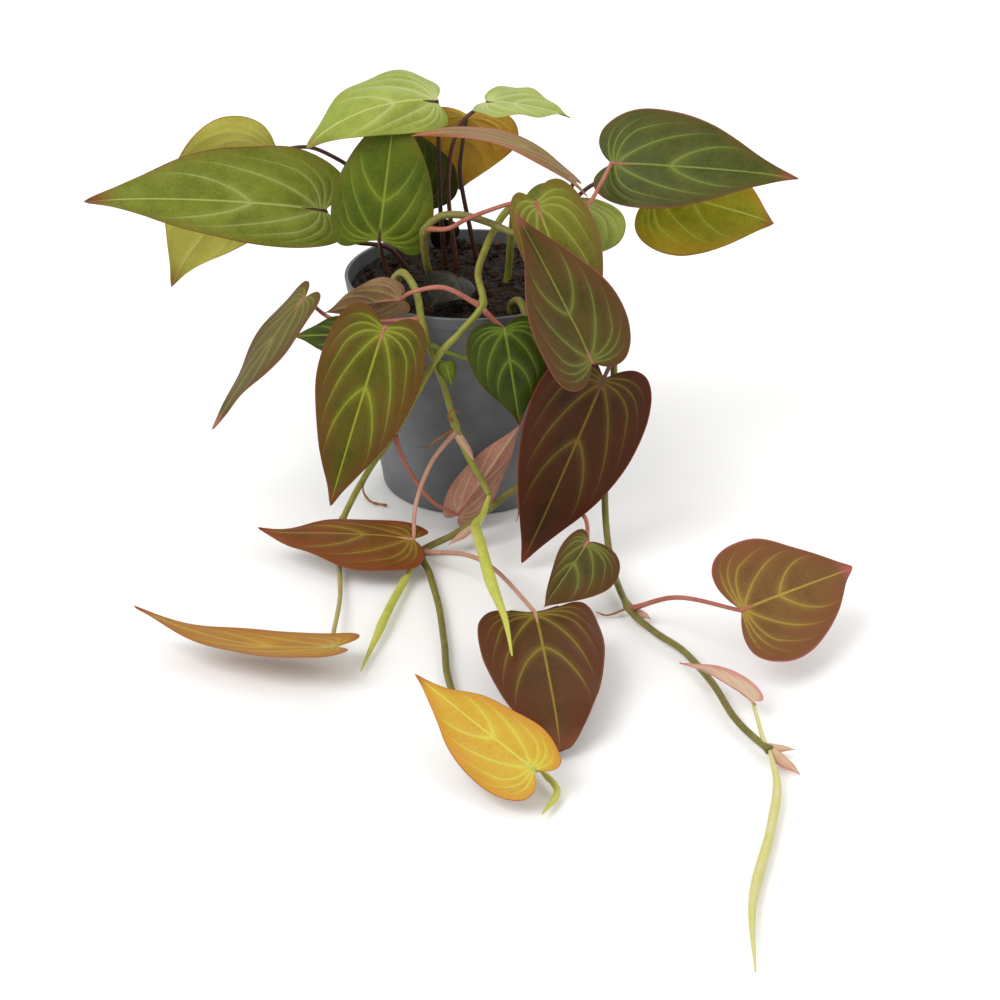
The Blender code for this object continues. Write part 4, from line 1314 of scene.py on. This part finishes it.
    def relief(self, middle: Array, share: Array, side: Array, part: Array, gap: Array, rib: Array) -> Array:
        """How the blade is modelled in the round.

        It dips at each vein and swells between veins, and its margin ripples.

        Args:
            middle: Places on the smooth blade.
            share: Share along the rows.
            side: Side, from -1 at the right margin to 1 at the left.
            part: How far each place is from a vein, in vein numbers.
            gap: Millimetres from one vein to the next.
            rib: Millimetres from the midrib.

        Returns:
            Three grids: how far each place lifts, the dip of its veins, and their fading.
        """
        luck = np.random.default_rng(self.seed)
        phase = luck.random(4) * TURN
        waves = self.least_waves + luck.random()
        edge = np.abs(side)
        margin, foot, end = self.relief_ends
        fade = (1 - ease(edge, margin, 1.0)) * ease(share, 0.0, foot) * (1 - ease(share, end, 1.0))
        width, depth = self.vein_groove
        dip = np.exp(-((part * gap / width) ** 2)) * depth + np.exp(-((rib / self.rib_groove) ** 2))
        puff = ease(part, 0.0, 0.5) * np.clip(gap / self.full_gap, 0, 1)
        turns = TURN * waves * share + np.where(side > 0, phase[0], phase[1])
        ripple = edge**self.ripple_power * np.sin(turns)
        lumps = Grain(self.seed).at(middle, self.swell_length)
        lift = self.pillow * puff * fade - self.groove * dip * fade
        lift = lift + self.ripple * ripple * ease(share, *self.ripple_start) + self.swell * lumps * edge
        return np.stack([lift, dip, fade])

    def build(self, name: str) -> bpy.types.Object:
        """Makes the closed blade, whose lower face stands out along the midrib and veins.

        Args:
            name: The piece's name.

        Returns:
            The blade, with maps of its veins, its shares and its midrib.
        """
        share, side = self.grid()
        middle = self.bent(*self.flat(share, side))
        normal = self.normals(middle)
        scale = min(1.0, self.leaf.width / self.full_width)
        edge = np.abs(side)
        number = self.vein_number(share, side)
        gap = self.vein_gap(middle, number)
        part = np.abs(number - np.round(number))
        rib = edge * self.leaf.width / 2 * self.outline(share)[1]
        lift, dip, fade = self.relief(middle, share, side, part, gap, rib)
        middle = middle + normal * (lift * scale)[..., None]
        thinning = 1 - edge**self.edge_power
        wall = self.edge_thickness + (self.thickness - self.edge_thickness) * thinning
        ridge = self.rib_ridge * (1 - share) * np.exp(-((rib / self.ridge_width) ** 2))
        ridge = ridge + self.vein_ridge * dip * fade
        upper = middle + normal * (wall / 2)[..., None]
        below = wall / 2 + ridge * scale * ease(share, 0, self.ridge_start)
        lower = middle - normal * below[..., None]
        rows, columns = upper.shape[:2]
        top_ids = np.arange(rows * columns).reshape(rows, columns)
        top_ids[0], top_ids[-1] = top_ids[0, 0], top_ids[-1, 0]
        low_ids = top_ids + rows * columns
        low_ids[0], low_ids[-1] = top_ids[0], top_ids[-1]
        low_ids[:, 0], low_ids[:, -1] = top_ids[:, 0], top_ids[:, -1]
        upper[:, [0, -1]] = middle[:, [0, -1]]
        signed = rib * np.sign(side)
        top = {
            "veins": np.stack([number, gap], axis=-1),
            "blade": np.stack([share, side], axis=-1),
            "rib": np.stack([signed, np.zeros_like(side)], axis=-1),
        }
        low = {**top, "rib": np.stack([signed, np.ones_like(side)], axis=-1)}
        points = np.vstack([upper.reshape(-1, 3), lower.reshape(-1, 3)]) * MM
        made = skin(name, points, [Patch(top_ids, top), Patch(low_ids, low, flip=True)])
        drop_loose(made)
        return made


def sheath(leaf: Leaf, seed: int) -> Blade:
    """A sheath's blade: coarser in its grid, and smoother and flatter than a leaf's."""
    smoother = {"pillow": 0.1, "groove": 0.05, "rib_ridge": 0.1, "ripple": 0.35, "swell": 0.35}
    return Blade(leaf, seed, rows=36, columns=28, **smoother)


def drop_loose(made: bpy.types.Object) -> None:
    """Removes vertices that no face uses, which the shared margins leave behind."""
    mesh = made.data
    used = np.zeros(len(mesh.vertices), dtype=bool)
    loops = np.zeros(len(mesh.loops), dtype=np.int32)
    mesh.loops.foreach_get("vertex_index", loops)
    used[loops] = True
    places = np.zeros(len(mesh.vertices) * 3, dtype=np.float32)
    mesh.vertices.foreach_get("co", places)
    number = np.cumsum(used) - 1
    charts = {}
    for layer in mesh.uv_layers:
        values = np.zeros(len(mesh.loops) * 2, dtype=np.float32)
        layer.uv.foreach_get("vector", values)
        charts[layer.name] = values
    tidy = bpy.data.meshes.new(mesh.name)
    tidy.from_pydata(places.reshape(-1, 3)[used].tolist(), [], number[loops].reshape(-1, 3).tolist())
    for layer, values in charts.items():
        tidy.uv_layers.new(name=layer).uv.foreach_set("vector", values)
    tidy.polygons.foreach_set("use_smooth", np.ones(len(tidy.polygons), dtype=bool))
    made.data = tidy
    bpy.data.meshes.remove(mesh)


@dataclass
class Wardrobe:
    """Materials made so far, each shared by the pieces that wear it."""

    finishes: dict[str, bpy.types.Material] = field(default_factory=dict)

    def dress(self, finish: LeafFinish | BarkFinish, name: str) -> bpy.types.Material:
        """The finish's material, made the first time that it is asked for."""
        if name not in self.finishes:
            self.finishes[name] = finish.material(name)
        return self.finishes[name]


@dataclass
class Foliage(Wardrobe):
    """Every leaf and sheath of the plant.

    Attributes:
        stalk_sides: How many sides a petiole has.
        stalk_samples: How many samples each span of a petiole has.
        foot_swell: How much a petiole swells at its foot, as a share of its radius.
        foot_fade: Share of the petiole over which that swelling dies away.
        stalk_top: Factor on a petiole's radius at its foot, before it swells.
        stalk_taper: How much of that factor is lost by the blade.
        rib_start: Share of the blade where the petiole's run under it begins.
        rib_reach: Share of the blade where that run ends.
        rib_samples: How many samples the run has.
        rib_depth: How far the run lies under the blade's middle, in millimetres.
        rib_share: Factor on the petiole's radius along the run.
        rib_fading: Share of the radius that is lost at the run's start and at its end.
        sheath_seed: Number of the first sheath's own noise.
    """

    stalk_sides: int = 14
    stalk_samples: int = 9
    foot_swell: float = 0.5
    foot_fade: float = 0.05
    stalk_top: float = 1.08
    stalk_taper: float = 0.26
    rib_start: float = 0.02
    rib_reach: float = 0.34
    rib_samples: int = 12
    rib_depth: float = 0.5
    rib_share: float = 0.8
    rib_fading: tuple[float, float] = (0.1, 0.85)
    sheath_seed: int = 100

    def stalk(self, name: str, blade: Blade) -> bpy.types.Object:
        """The petiole, which runs on under the blade as the foot of its midrib.

        Its radius falls along it, swells at its foot, and fades out under the blade.

        Args:
            name: The piece's name.
            blade: The blade that it carries.

        Returns:
            The closed stalk.
        """
        leaf = blade.leaf
        start = in_peat if leaf.rooted else from_vine
        path = smooth(start([*leaf.petiole, leaf.base]), self.stalk_samples)
        under = np.linspace(self.rib_start, self.rib_reach, self.rib_samples)
        rib = blade.bent(under, np.zeros_like(under)) - unit(leaf.faces) * self.rib_depth
        share = np.linspace(0, 1, len(path))
        swell = self.foot_swell * np.exp(-share / self.foot_fade)
        radii = leaf.petiole_radius * (self.stalk_top - self.stalk_taper * share + swell)
        fading = leaf.petiole_radius * self.rib_share * (1 - np.linspace(*self.rib_fading, len(under)))
        path = np.vstack([path, rib])
        return tube(name, path, np.concatenate([radii, fading]), self.stalk_sides)

    def build(self) -> None:
        """Builds and dresses every leaf and sheath."""
        for seed, (node, (leaf, tone, bark)) in enumerate(LEAVES.items()):
            blade = Blade(leaf, seed)
            title = node.removeprefix("leaf_")
            settle(blade.build(f"blade_{title}"), node, self.dress(tone.value, tone.name.lower()))
            stalk = self.stalk(f"petiole_{title}", blade)
            settle(stalk, node, self.dress(bark.value, bark.name.lower()))
        for seed, (node, leaf) in enumerate(SHEATHS.items()):
            blade = sheath(wrapped(leaf), self.sheath_seed + seed)
            title = node.removeprefix("cataphyll_")
            settle(blade.build(f"sheath_{title}"), node, self.dress(Tone.SHEATH.value, "sheath"))


def unit(direction: Point) -> Array:
    """A direction scaled to length one."""
    return np.array(direction, dtype=float) / np.linalg.norm(direction)


# Stems, shoots and roots


@dataclass
class Vines(Wardrobe):
    """The four vines, the rolled shoots and the loose roots.

    Attributes:
        node_swelling: How much a vine swells at a node, as a share of its radius.
        node_reach: How far that swelling reaches, in millimetres.
        scar_depth: Depth of the ring scars beside a node, as a share of the radius.
        scar_place: How far a scar is from its node, in reaches.
        scar_width: Half width of a scar, in reaches.
        sides: How many sides a vine or shoot has.
        wobble_length: Length of a vine's unevenness, in millimetres.
        wobble: Depth of that unevenness, as a share of the radius.
        flutes: How many shallow flutes run along a vine.
        flute_depth: Their depth, as a share of the radius.
        shoot_samples: How many samples each span of a shoot has.
        shoot_turns: How often a rolled leaf's free edge winds round it.
        shoot_step: Height of that edge, as a share of the radius.
        shoot_start: Share of the shoot over which the edge appears.
        root_samples: How many samples each span of a root has.
        root_sides: How many sides a root has.
        root_top: Factor on a root's radius at its start.
        root_taper: How much of that factor is lost by its end.
        root_lump: Length of a root's lumps, in millimetres.
        root_roughness: Their height, as a share of the radius.
        vine_seed: Number of the first vine's own noise.
        root_seed: Number of the first root's own noise.
    """

    node_swelling: float = 0.42
    node_reach: float = 2.6
    scar_depth: float = 0.07
    scar_place: float = 1.1
    scar_width: float = 0.18
    sides: int = 24
    wobble_length: float = 7.0
    wobble: float = 0.05
    flutes: int = 5
    flute_depth: float = 0.018
    shoot_samples: int = 18
    shoot_turns: float = 1.6
    shoot_step: float = 0.16
    shoot_start: float = 0.1
    root_samples: int = 12
    root_sides: int = 12
    root_top: float = 1.1
    root_taper: float = 0.75
    root_lump: float = 1.6
    root_roughness: float = 0.25
    vine_seed: int = 40
    root_seed: int = 60

    def clad(self, made: bpy.types.Object, node: str, bark: Bark) -> None:
        """Dresses a piece in its bark and sets it in the frame."""
        settle(made, node, self.dress(bark.value, "vine_" + bark.name.lower()))

    def stem(self, node: str, points: Route, joints: tuple[int, ...], bark: Bark, seed: int) -> None:
        """One vine: it tapers, swells at each node and has a ring scar on each side of it."""
        path = smooth(in_peat(points), VINE_SAMPLES)
        run = lengths(path)
        radii = VINE_RADIUS * np.linspace(1.0, VINE_END_TAPER, len(path))
        for joint in joints:
            off = (run - run[min(joint * VINE_SAMPLES, len(run) - 1)]) / self.node_reach
            before, beyond = ((off + way * self.scar_place) / self.scar_width for way in (-1, 1))
            scars = np.exp(-(before**2)) + np.exp(-(beyond**2))
            radii = radii * (1 + self.node_swelling * np.exp(-(off**2)) - self.scar_depth * scars)
        angle = np.arange(self.sides) / self.sides * TURN
        around = np.broadcast_arrays(run[:, None] / self.wobble_length, np.cos(angle), np.sin(angle))
        wobble = Grain(seed).at(np.stack(around, axis=-1), 1.0)
        flutes = 1 + self.wobble * wobble + self.flute_depth * np.cos(self.flutes * angle)
        title = node.removeprefix("stem_")
        self.clad(tube(f"vine_{title}", path, radii, self.sides, flutes), node, bark)

    def shoot(self, node: str, points: Route, radius: float, bark: Bark) -> None:
        """A rolled leaf: its free edge winds round it, so the radius steps once a turn."""
        path = smooth(from_vine(points), self.shoot_samples)
        run = lengths(path)
        share = run / run[-1]
        radii = radius * np.interp(share, SHOOT_SHARES, SHOOT_FULLNESS)
        angle = np.arange(self.sides) / self.sides
        wound = np.mod(angle[None] + self.shoot_turns * share[:, None], 1.0)
        roll = 1 + self.shoot_step * (wound - 0.5) * ease(share, 0, self.shoot_start)[:, None]
        self.clad(tube(f"rolled_{node}", path, radii, self.sides, roll), node, bark)

    def root(self, node: str, points: Route, radius: float, bark: Bark, seed: int) -> None:
        """A root: a thin tube with uneven thickness and a fine end."""
        path = smooth(points if node in POT_ROOTS else from_vine(points), self.root_samples)
        share = np.linspace(0, 1, len(path))
        rough = Grain(seed).at(path, self.root_lump)
        radii = radius * (self.root_top - self.root_taper * share) * (1 + self.root_roughness * rough)
        title = node.removeprefix("root_")
        self.clad(tube(f"rootlet_{title}", path, radii, self.root_sides), node, bark)

    def build(self) -> None:
        """Builds and dresses every vine, shoot and root."""
        for seed, (node, (points, joints, bark)) in enumerate(STEMS.items()):
            self.stem(node, points, joints, bark, self.vine_seed + seed)
        for node, (points, radius, bark) in SHOOTS.items():
            self.shoot(node, points, radius, bark)
        for seed, (node, (points, radius, bark)) in enumerate(ROOTS.items()):
            self.root(node, points, radius, bark, self.root_seed + seed)


# Pot and soil


@dataclass
class NurseryPot:
    """The tapered pot, with its lip and drain holes, sized from its CAD node.

    Attributes:
        wall: Thickness of its wall, in millimetres, as are all the lengths here.
        lip_height: How far the lip comes down the outside.
        lip_step: How far the lip stands out from the wall.
        lip_edge: Run and drop of the small return under the lip.
        land: How far below the rim the lip's straight side starts.
        rounding: Radius of the rim's two edges.
        rounding_steps: How many points each of those edges has.
        floor: Thickness of the floor.
        corner: Size of the corner between floor and wall.
        inner_start: Height where the straight inside starts.
        inner_stop: How far below the rim it ends.
        rows: How many rings the inside, the lip and the outside have.
        chamfer: Size of the foot's worn edge.
        chamfer_waist: Shares of the chamfer, out and up, where that edge bulges.
        foot_radius: Radius of the foot.
        sides: How many sides the pot has.
        drain_count: How many drain holes it has.
        drain_radius: Their radius.
        drain_circle: Radius of the ring that they are on.
        drain_sides: How many sides a hole has; a flat one faces the pot's axis.
        drain_cut: Heights between which the holes are cut.
    """

    wall: float = 1.4
    lip_height: float = 6.0
    lip_step: float = 0.5
    lip_edge: tuple[float, float] = (0.12, 0.1)
    land: float = 1.2
    rounding: float = 0.5
    rounding_steps: int = 6
    floor: float = 2.2
    corner: float = 1.0
    inner_start: float = 8.0
    inner_stop: float = 4.0
    rows: tuple[int, int, int] = (16, 6, 22)
    chamfer: float = 1.2
    chamfer_waist: tuple[float, float] = (0.35, 0.3)
    foot_radius: float = 44.0
    sides: int = 160
    drain_count: int = 6
    drain_radius: float = 4.0
    drain_circle: float = 27.0
    drain_sides: int = 30
    drain_cut: tuple[float, float] = (-3.0, 6.0)

    def build(self) -> None:
        """Turns the pot from its profile, cuts the drain holes and dresses it."""
        _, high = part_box("pot")
        rim, height = high.x / MM, high.z / MM
        taper = (rim - self.lip_step - self.foot_radius) / height
        inside = self.foot_radius - self.wall
        arc = np.linspace(0, math.pi / 2, self.rounding_steps)
        within, beside, outside = self.rows
        r = self.rounding
        lip_in = inside + taper * height
        under = height - self.lip_height
        bend = self.floor + self.corner
        edge_in, edge_up = self.lip_edge
        waist_in, waist_up = self.chamfer_waist
        profile = [(0.0, self.floor), (inside * 0.5, self.floor)]
        profile += [(inside + taper * self.floor - self.corner, self.floor), (inside + taper * bend, bend)]
        climb = np.linspace(self.inner_start, height - self.inner_stop, within)
        profile += [(inside + taper * z, z) for z in climb]
        profile += [(lip_in + r - r * math.cos(a), height - r + r * math.sin(a)) for a in arc]
        profile += [(rim - r + r * math.sin(a), height - r + r * math.cos(a)) for a in arc]
        fall = np.linspace(self.land, self.lip_height - self.lip_step, beside)
        profile += [(rim - taper * z, height - z) for z in fall]
        profile += [(rim - taper * self.lip_height - edge_in, under + edge_up)]
        descent = np.linspace(under - self.lip_step, self.chamfer, outside)
        profile += [(self.foot_radius + taper * z, z) for z in descent]
        profile += [(self.foot_radius - self.chamfer * waist_in, self.chamfer * waist_up)]
        profile += [(self.foot_radius - self.chamfer, 0.0), (self.foot_radius * 0.5, 0.0), (0.0, 0.0)]
        pot = lathe("nursery_pot", np.array(profile)[::-1], self.sides)
        self.drain(pot)
        settle(pot, "pot", plastic("pot_plastic"))

    def drain(self, pot: bpy.types.Object) -> None:
        """Cuts the ring of drain holes through the floor."""
        for number in range(self.drain_count):
            angle = TURN * (number + 0.5) / self.drain_count
            x, y = self.drain_circle * math.cos(angle), self.drain_circle * math.sin(angle)
            radii = (0.0, self.drain_radius, self.drain_radius, 0.0)
            profile = zip(radii, np.repeat(self.drain_cut, 2))
            cutter = lathe(f"drain_{number}", np.array(list(profile)), self.drain_sides)
            cutter.location = (x * MM, y * MM, 0.0)
            cut = pot.modifiers.new(cutter.name, "BOOLEAN")
            cut.operation = "DIFFERENCE"
            cut.object = cutter
            bake(pot)
            bpy.data.objects.remove(cutter)


def bake(made: bpy.types.Object) -> None:
    """Applies a piece's modifiers to its mesh."""
    graph = bpy.context.evaluated_depsgraph_get()
    graph.update()
    mesh = bpy.data.meshes.new_from_object(made.evaluated_get(graph))
    made.modifiers.clear()
    made.data = mesh


def roughened(rings: Array, grain: Grain) -> Array:
    """Lifts and sinks the rings by crumb-sized noise, fading to nothing at the sides and below."""
    high = rings[..., 2].max()
    open_face = ease(rings[..., 2], high - 2.6, high - 1.2)
    lumps = 1.3 * grain.at(rings, 9.0) + 1.0 * grain.at(rings, 4.2) + 0.7 * grain.at(rings, 1.9)
    rings = rings.copy()
    rings[..., 2] += (lumps - 0.3) * open_face
    return rings


@dataclass
class PeatBed:
    """The peat, its loose crumbs and fibres, and the bark chips on it.

    Attributes:
        dome: How far the peat rises to its middle, in millimetres, as are all the lengths here.
        flare: How much the peat widens over the pot's height.
        pot_height: The height that the flare is measured over.
        shoulder: How far below the face the side's last two rings are.
        inset: How far in from the side the face starts.
        eye: Radius of the face's innermost ring.
        face_rings: How many rings the face has.
        sides: How many sides the bed has.
        crumbs: How many loose crumbs lie on it.
        fibres: How many loose fibres.
        fibre_grid: Rings and sides of a fibre.
        reach: Radius that the loose bits keep within.
        crumb_reach: Share of it for crumbs.
        fibre_reach: Share of it for the fibres' starts.
        tuft: Where some crumbs are heaped.
        tuft_share: Share of the crumbs that are.
        tuft_spread: How widely they are heaped.
        chip_grid: Rings and sides of a bark chip.
        bed_seed: Number of the bed's own noise.
        crumb_seed: Number of the crumbs' own chances.
        fibre_seed: Number of the fibres' own chances.
        chip_seed: Number of the first chip's own noise.
    """

    dome: float = 1.2
    flare: float = 15.5
    pot_height: float = 110.0
    shoulder: tuple[float, float] = (2.0, 0.6)
    inset: float = 0.4
    eye: float = 0.8
    face_rings: int = 62
    sides: int = 220
    crumbs: int = 900
    fibres: int = 130
    fibre_grid: tuple[int, int] = (9, 5)
    reach: float = 55.0
    crumb_reach: float = 0.97
    fibre_reach: float = 0.92
    tuft: Point = (-6.0, 47.0, 0.0)
    tuft_share: float = 0.05
    tuft_spread: float = 2.2
    chip_grid: tuple[int, int] = (22, 36)
    bed_seed: int = 7
    crumb_seed: int = 11
    fibre_seed: int = 12
    chip_seed: int = 80

    def build(self) -> None:
        """Builds and dresses everything in the pot."""
        low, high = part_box("soil")
        top, foot = high.z / MM - self.dome, low.z / MM
        wide = high.x / MM
        narrow = wide - (top - foot) * self.flare / self.pot_height
        radii = np.linspace(wide - self.inset, self.eye, self.face_rings)
        face = [(r, top + self.dome * (1 - (r / wide) ** 2)) for r in radii]
        side = [(0.0, foot), (narrow, foot), *((wide, top - drop) for drop in self.shoulder)]
        profile = np.array([*side, *face, (0.0, top + self.dome)])
        bed = lathe("peat_bed", profile, self.sides, Grain(self.bed_seed))
        settle(bed, "soil", peat("peat", "2c1d14", "0c0806", "6a4a30"))
        self.scatter_crumbs(top)
        self.scatter_fibres(top)
        for number, node in enumerate(("bark_chip_left", "bark_chip_back", "bark_chip_right")):
            self.chip(node, self.chip_seed + number)

    def scatter_crumbs(self, top: float) -> None:
        """Loose crumbs: one 20-sided lump, stretched, sized and dented afresh for each."""
        luck = np.random.default_rng(self.crumb_seed)
        golden = (1 + math.sqrt(5)) / 2
        corner = np.array([
            (-1, golden, 0), (1, golden, 0), (-1, -golden, 0), (1, -golden, 0),
            (0, -1, golden), (0, 1, golden), (0, -1, -golden), (0, 1, -golden),
            (golden, 0, -1), (golden, 0, 1), (-golden, 0, -1), (-golden, 0, 1),
        ]) / math.hypot(1, golden)
        sides = np.array([
            (0, 11, 5), (0, 5, 1), (0, 1, 7), (0, 7, 10), (0, 10, 11), (1, 5, 9), (5, 11, 4),
            (11, 10, 2), (10, 7, 6), (7, 1, 8), (3, 9, 4), (3, 4, 2), (3, 2, 6), (3, 6, 8),
            (3, 8, 9), (4, 9, 5), (2, 4, 11), (6, 2, 10), (8, 6, 7), (9, 8, 1),
        ])
        radius = self.reach * self.crumb_reach * np.sqrt(luck.random(self.crumbs))
        angle = luck.random(self.crumbs) * TURN
        size = 0.5 + 1.5 * luck.random(self.crumbs) ** 3
        tuft = luck.random(self.crumbs) < self.tuft_share
        place = np.stack([radius * np.cos(angle), radius * np.sin(angle), np.zeros(self.crumbs)], axis=-1)
        heaped = np.array(self.tuft) + luck.normal(0, self.tuft_spread, place.shape)
        place = np.where(tuft[:, None], heaped, place)
        place[:, 2] = np.where(tuft, 1.5 + 3.5 * luck.random(self.crumbs), 0.3) + top + self.dome * 0.6
        stretch = 0.6 + 0.7 * luck.random((self.crumbs, 1, 3))
        dent = 0.75 + 0.45 * luck.random((self.crumbs, len(corner), 1))
        points = place[:, None] + corner[None] * stretch * dent * size[:, None, None]
        faces = sides[None] + len(corner) * np.arange(self.crumbs)[:, None, None]
        made = loose("peat_crumbs", points, faces)
        settle(made, "soil", peat("crumbs", "4a2e1c", "1c100a", "7a5434"))

    def scatter_fibres(self, top: float) -> None:
        """Loose fibres: five-sided threads along short arcs that rise a little from the peat."""
        luck = np.random.default_rng(self.fibre_seed)
        count, (rows, sides) = self.fibres, self.fibre_grid
        share = np.linspace(0, 1, rows)
        radius = self.reach * self.fibre_reach * np.sqrt(luck.random(count))
        angle = luck.random(count) * TURN
        heading = luck.random(count) * TURN
        length = 4 + 10 * luck.random(count)
        curl = luck.normal(0, 1.3, count)
        turn = heading[:, None] + curl[:, None] * share
        step = length[:, None] / rows
        x = radius[:, None] * np.cos(angle)[:, None] + np.cumsum(np.cos(turn) * step, axis=1)
        y = radius[:, None] * np.sin(angle)[:, None] + np.cumsum(np.sin(turn) * step, axis=1)
        inside = np.minimum(1.0, self.reach / np.maximum(np.hypot(x, y), 1e-6))
        lift = luck.random(count)[:, None] * 2.0 * np.sin(math.pi * share) + 1.2
        path = np.stack([x * inside, y * inside, top + lift], axis=-1)
        thick = (0.12 + 0.2 * luck.random(count))[:, None, None] * (1 - 0.6 * share)[None, :, None]
        spin = np.arange(sides) / sides * TURN
        side = np.stack([-np.sin(turn), np.cos(turn), np.zeros_like(turn)], axis=-1)
        up = np.array([0.0, 0.0, 1.0])
        ring = np.cos(spin)[:, None] * side[:, :, None] + np.sin(spin)[:, None] * up
        rings = path[:, :, None] + thick[..., None] * ring
        ends = np.stack([path[:, 0], path[:, -1]], axis=1)
        points = np.concatenate([rings.reshape(count, -1, 3), ends], axis=1)
        ids = ringed(rows, sides)
        faces = Patch(ids, {}, flip=True).corners(ids)
        faces = faces[unpinched(faces)]
        every = faces[None] + points.shape[1] * np.arange(count)[:, None, None]
        made = loose("peat_fibres", points, every)
        settle(made, "soil", peat("fibres", "8a5c38", "4a2c1a", "b08458"))

    def chip(self, node: str, seed: int) -> None:
        """A bark chip: a flat rounded block, split along its grain by stretched noise."""
        low, high = (np.array(corner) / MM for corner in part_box(node))
        middle, half = (low + high) / 2, (high - low) / 2
        rows, sides = self.chip_grid
        tilt = np.linspace(0, math.pi, rows + 2)[1:-1, None]
        turn = np.arange(sides) / sides * TURN
        x = np.sign(np.cos(turn)) * np.abs(np.cos(turn)) ** 0.7 * np.sin(tilt) ** 0.8
        y = np.sign(np.sin(turn)) * np.abs(np.sin(turn)) ** 0.7 * np.sin(tilt) ** 0.8
        z = np.sign(np.cos(tilt)) * np.abs(np.cos(tilt)) ** 0.6 * np.ones_like(turn)
        ball = np.stack([x, y, z], axis=-1)
        grain = Grain(seed)
        rough = 1 + 0.1 * grain.at(ball * (1, 5, 3), 1.0) + 0.06 * grain.at(ball * (3, 12, 6), 1.0)
        rings = middle + ball * half * 0.95 * rough[..., None]
        poles = middle + np.array([[0, 0, half[2] * 0.9], [0, 0, -half[2] * 0.9]])
        points = np.vstack([rings.reshape(-1, 3), poles]) * MM
        made = skin(node.replace("bark_chip", "chip"), points, [Patch(ringed(rows, sides), {})])
        settle(made, node, peat(f"bark_{seed}", "6e3e26", "2c160e", "8c5a3a"))


def loose(name: str, points: Array, faces: Array) -> bpy.types.Object:
    """Puts many small closed lumps into one mesh object.

    Args:
        name: The piece's name.
        points: Vertices of each lump, in millimetres.
        faces: Triangles of each lump.

    Returns:
        The new object.
    """
    mesh = bpy.data.meshes.new(name)
    mesh.from_pydata((points.reshape(-1, 3) * MM).tolist(), [], faces.reshape(-1, 3).tolist())
    mesh.update()
    made = bpy.data.objects.new(name, mesh)
    bpy.context.scene.collection.objects.link(made)
    return made


# Studio


# Square soft boxes: place and side in metres, and power
SOFT_BOXES: dict[str, tuple[Point, float, float]] = {
    "key": ((-0.9, -0.9, 1.5), 1.1, 19.0),
    "fill": ((1.3, -0.7, 1.0), 1.4, 6.0),
    "back": ((0.2, 1.3, 1.2), 1.2, 8.0),
}


@dataclass
class Studio:
    """A white table, soft light from all round, and the camera.

    Attributes:
        camera_place: Where the camera is, in metres.
        camera_tilt: How far it is tipped up from looking straight down, in degrees.
        lens: Its focal length, in millimetres.
        sensor: Its sensor's width, in millimetres.
        clip_start: The nearest thing that it sees, in metres.
        table_half: Half the table's side, in metres.
        table_colour: The table's linear colour.
        sky: Linear colour of the light from all round.
        sky_strength: How strong that light is.
        aim: What the soft boxes point at, in metres.
    """

    camera_place: Point = (0.015, -0.906, 0.463)
    camera_tilt: float = 62.2
    lens: float = 72.0
    sensor: float = 36.0
    clip_start: float = 0.01
    table_half: float = 6.0
    table_colour: Colour = (0.93, 0.93, 0.93)
    sky: Colour = (1.0, 0.985, 0.96)
    sky_strength: float = 0.75
    aim: Point = (0.0, -0.1, 0.08)

    def build(self) -> None:
        """Sets the camera, the table and the lights."""
        scene = bpy.context.scene
        camera = bpy.data.objects.new("camera", bpy.data.cameras.new("camera"))
        camera.location = self.camera_place
        camera.rotation_euler = (math.radians(self.camera_tilt), 0.0, 0.0)
        camera.data.lens = self.lens
        camera.data.sensor_width = self.sensor
        camera.data.clip_start = self.clip_start
        scene.collection.objects.link(camera)
        scene.camera = camera
        self.table()
        for name, (place, size, power) in SOFT_BOXES.items():
            self.light(name, place, size, power)
        world = bpy.data.worlds.new("studio")
        world.use_nodes = True
        glow = world.node_tree.nodes["Background"].inputs
        glow["Color"].default_value = (*self.sky, 1.0)
        glow["Strength"].default_value = self.sky_strength
        scene.world = world
        scene.view_settings.view_transform = "Standard"

    def table(self) -> None:
        """The plain pale table that the pot stands on."""
        half = self.table_half
        square = [(-half, -half, 0), (half, -half, 0), (half, half, 0), (-half, half, 0)]
        mesh = bpy.data.meshes.new("table")
        mesh.from_pydata(square, [], [(0, 1, 2, 3)])
        table = bpy.data.objects.new("table", mesh)
        bpy.context.scene.collection.objects.link(table)
        nodes = Nodes("table")
        mesh.materials.append(nodes.finish(Base_Color=self.table_colour, Roughness=0.7))

    def light(self, name: str, place: Point, size: float, power: float) -> None:
        """A square soft box aimed at the plant."""
        data = bpy.data.lights.new(name, "AREA")
        data.size = size
        data.energy = power
        lamp = bpy.data.objects.new(name, data)
        lamp.location = place
        x, y, z = np.array(place) - np.array(self.aim)
        lamp.rotation_euler = (math.atan2(math.hypot(x, y), z), 0.0, math.atan2(x, -y))
        bpy.context.scene.collection.objects.link(lamp)


def main() -> None:
    """Builds and dresses the whole plant in its studio."""
    logging.basicConfig(level=logging.INFO, format="%(name)s: %(message)s")
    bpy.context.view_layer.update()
    Studio().build()
    NurseryPot().build()
    PeatBed().build()
    Vines().build()
    Foliage().build()


if __name__ == "__main__":
    main()
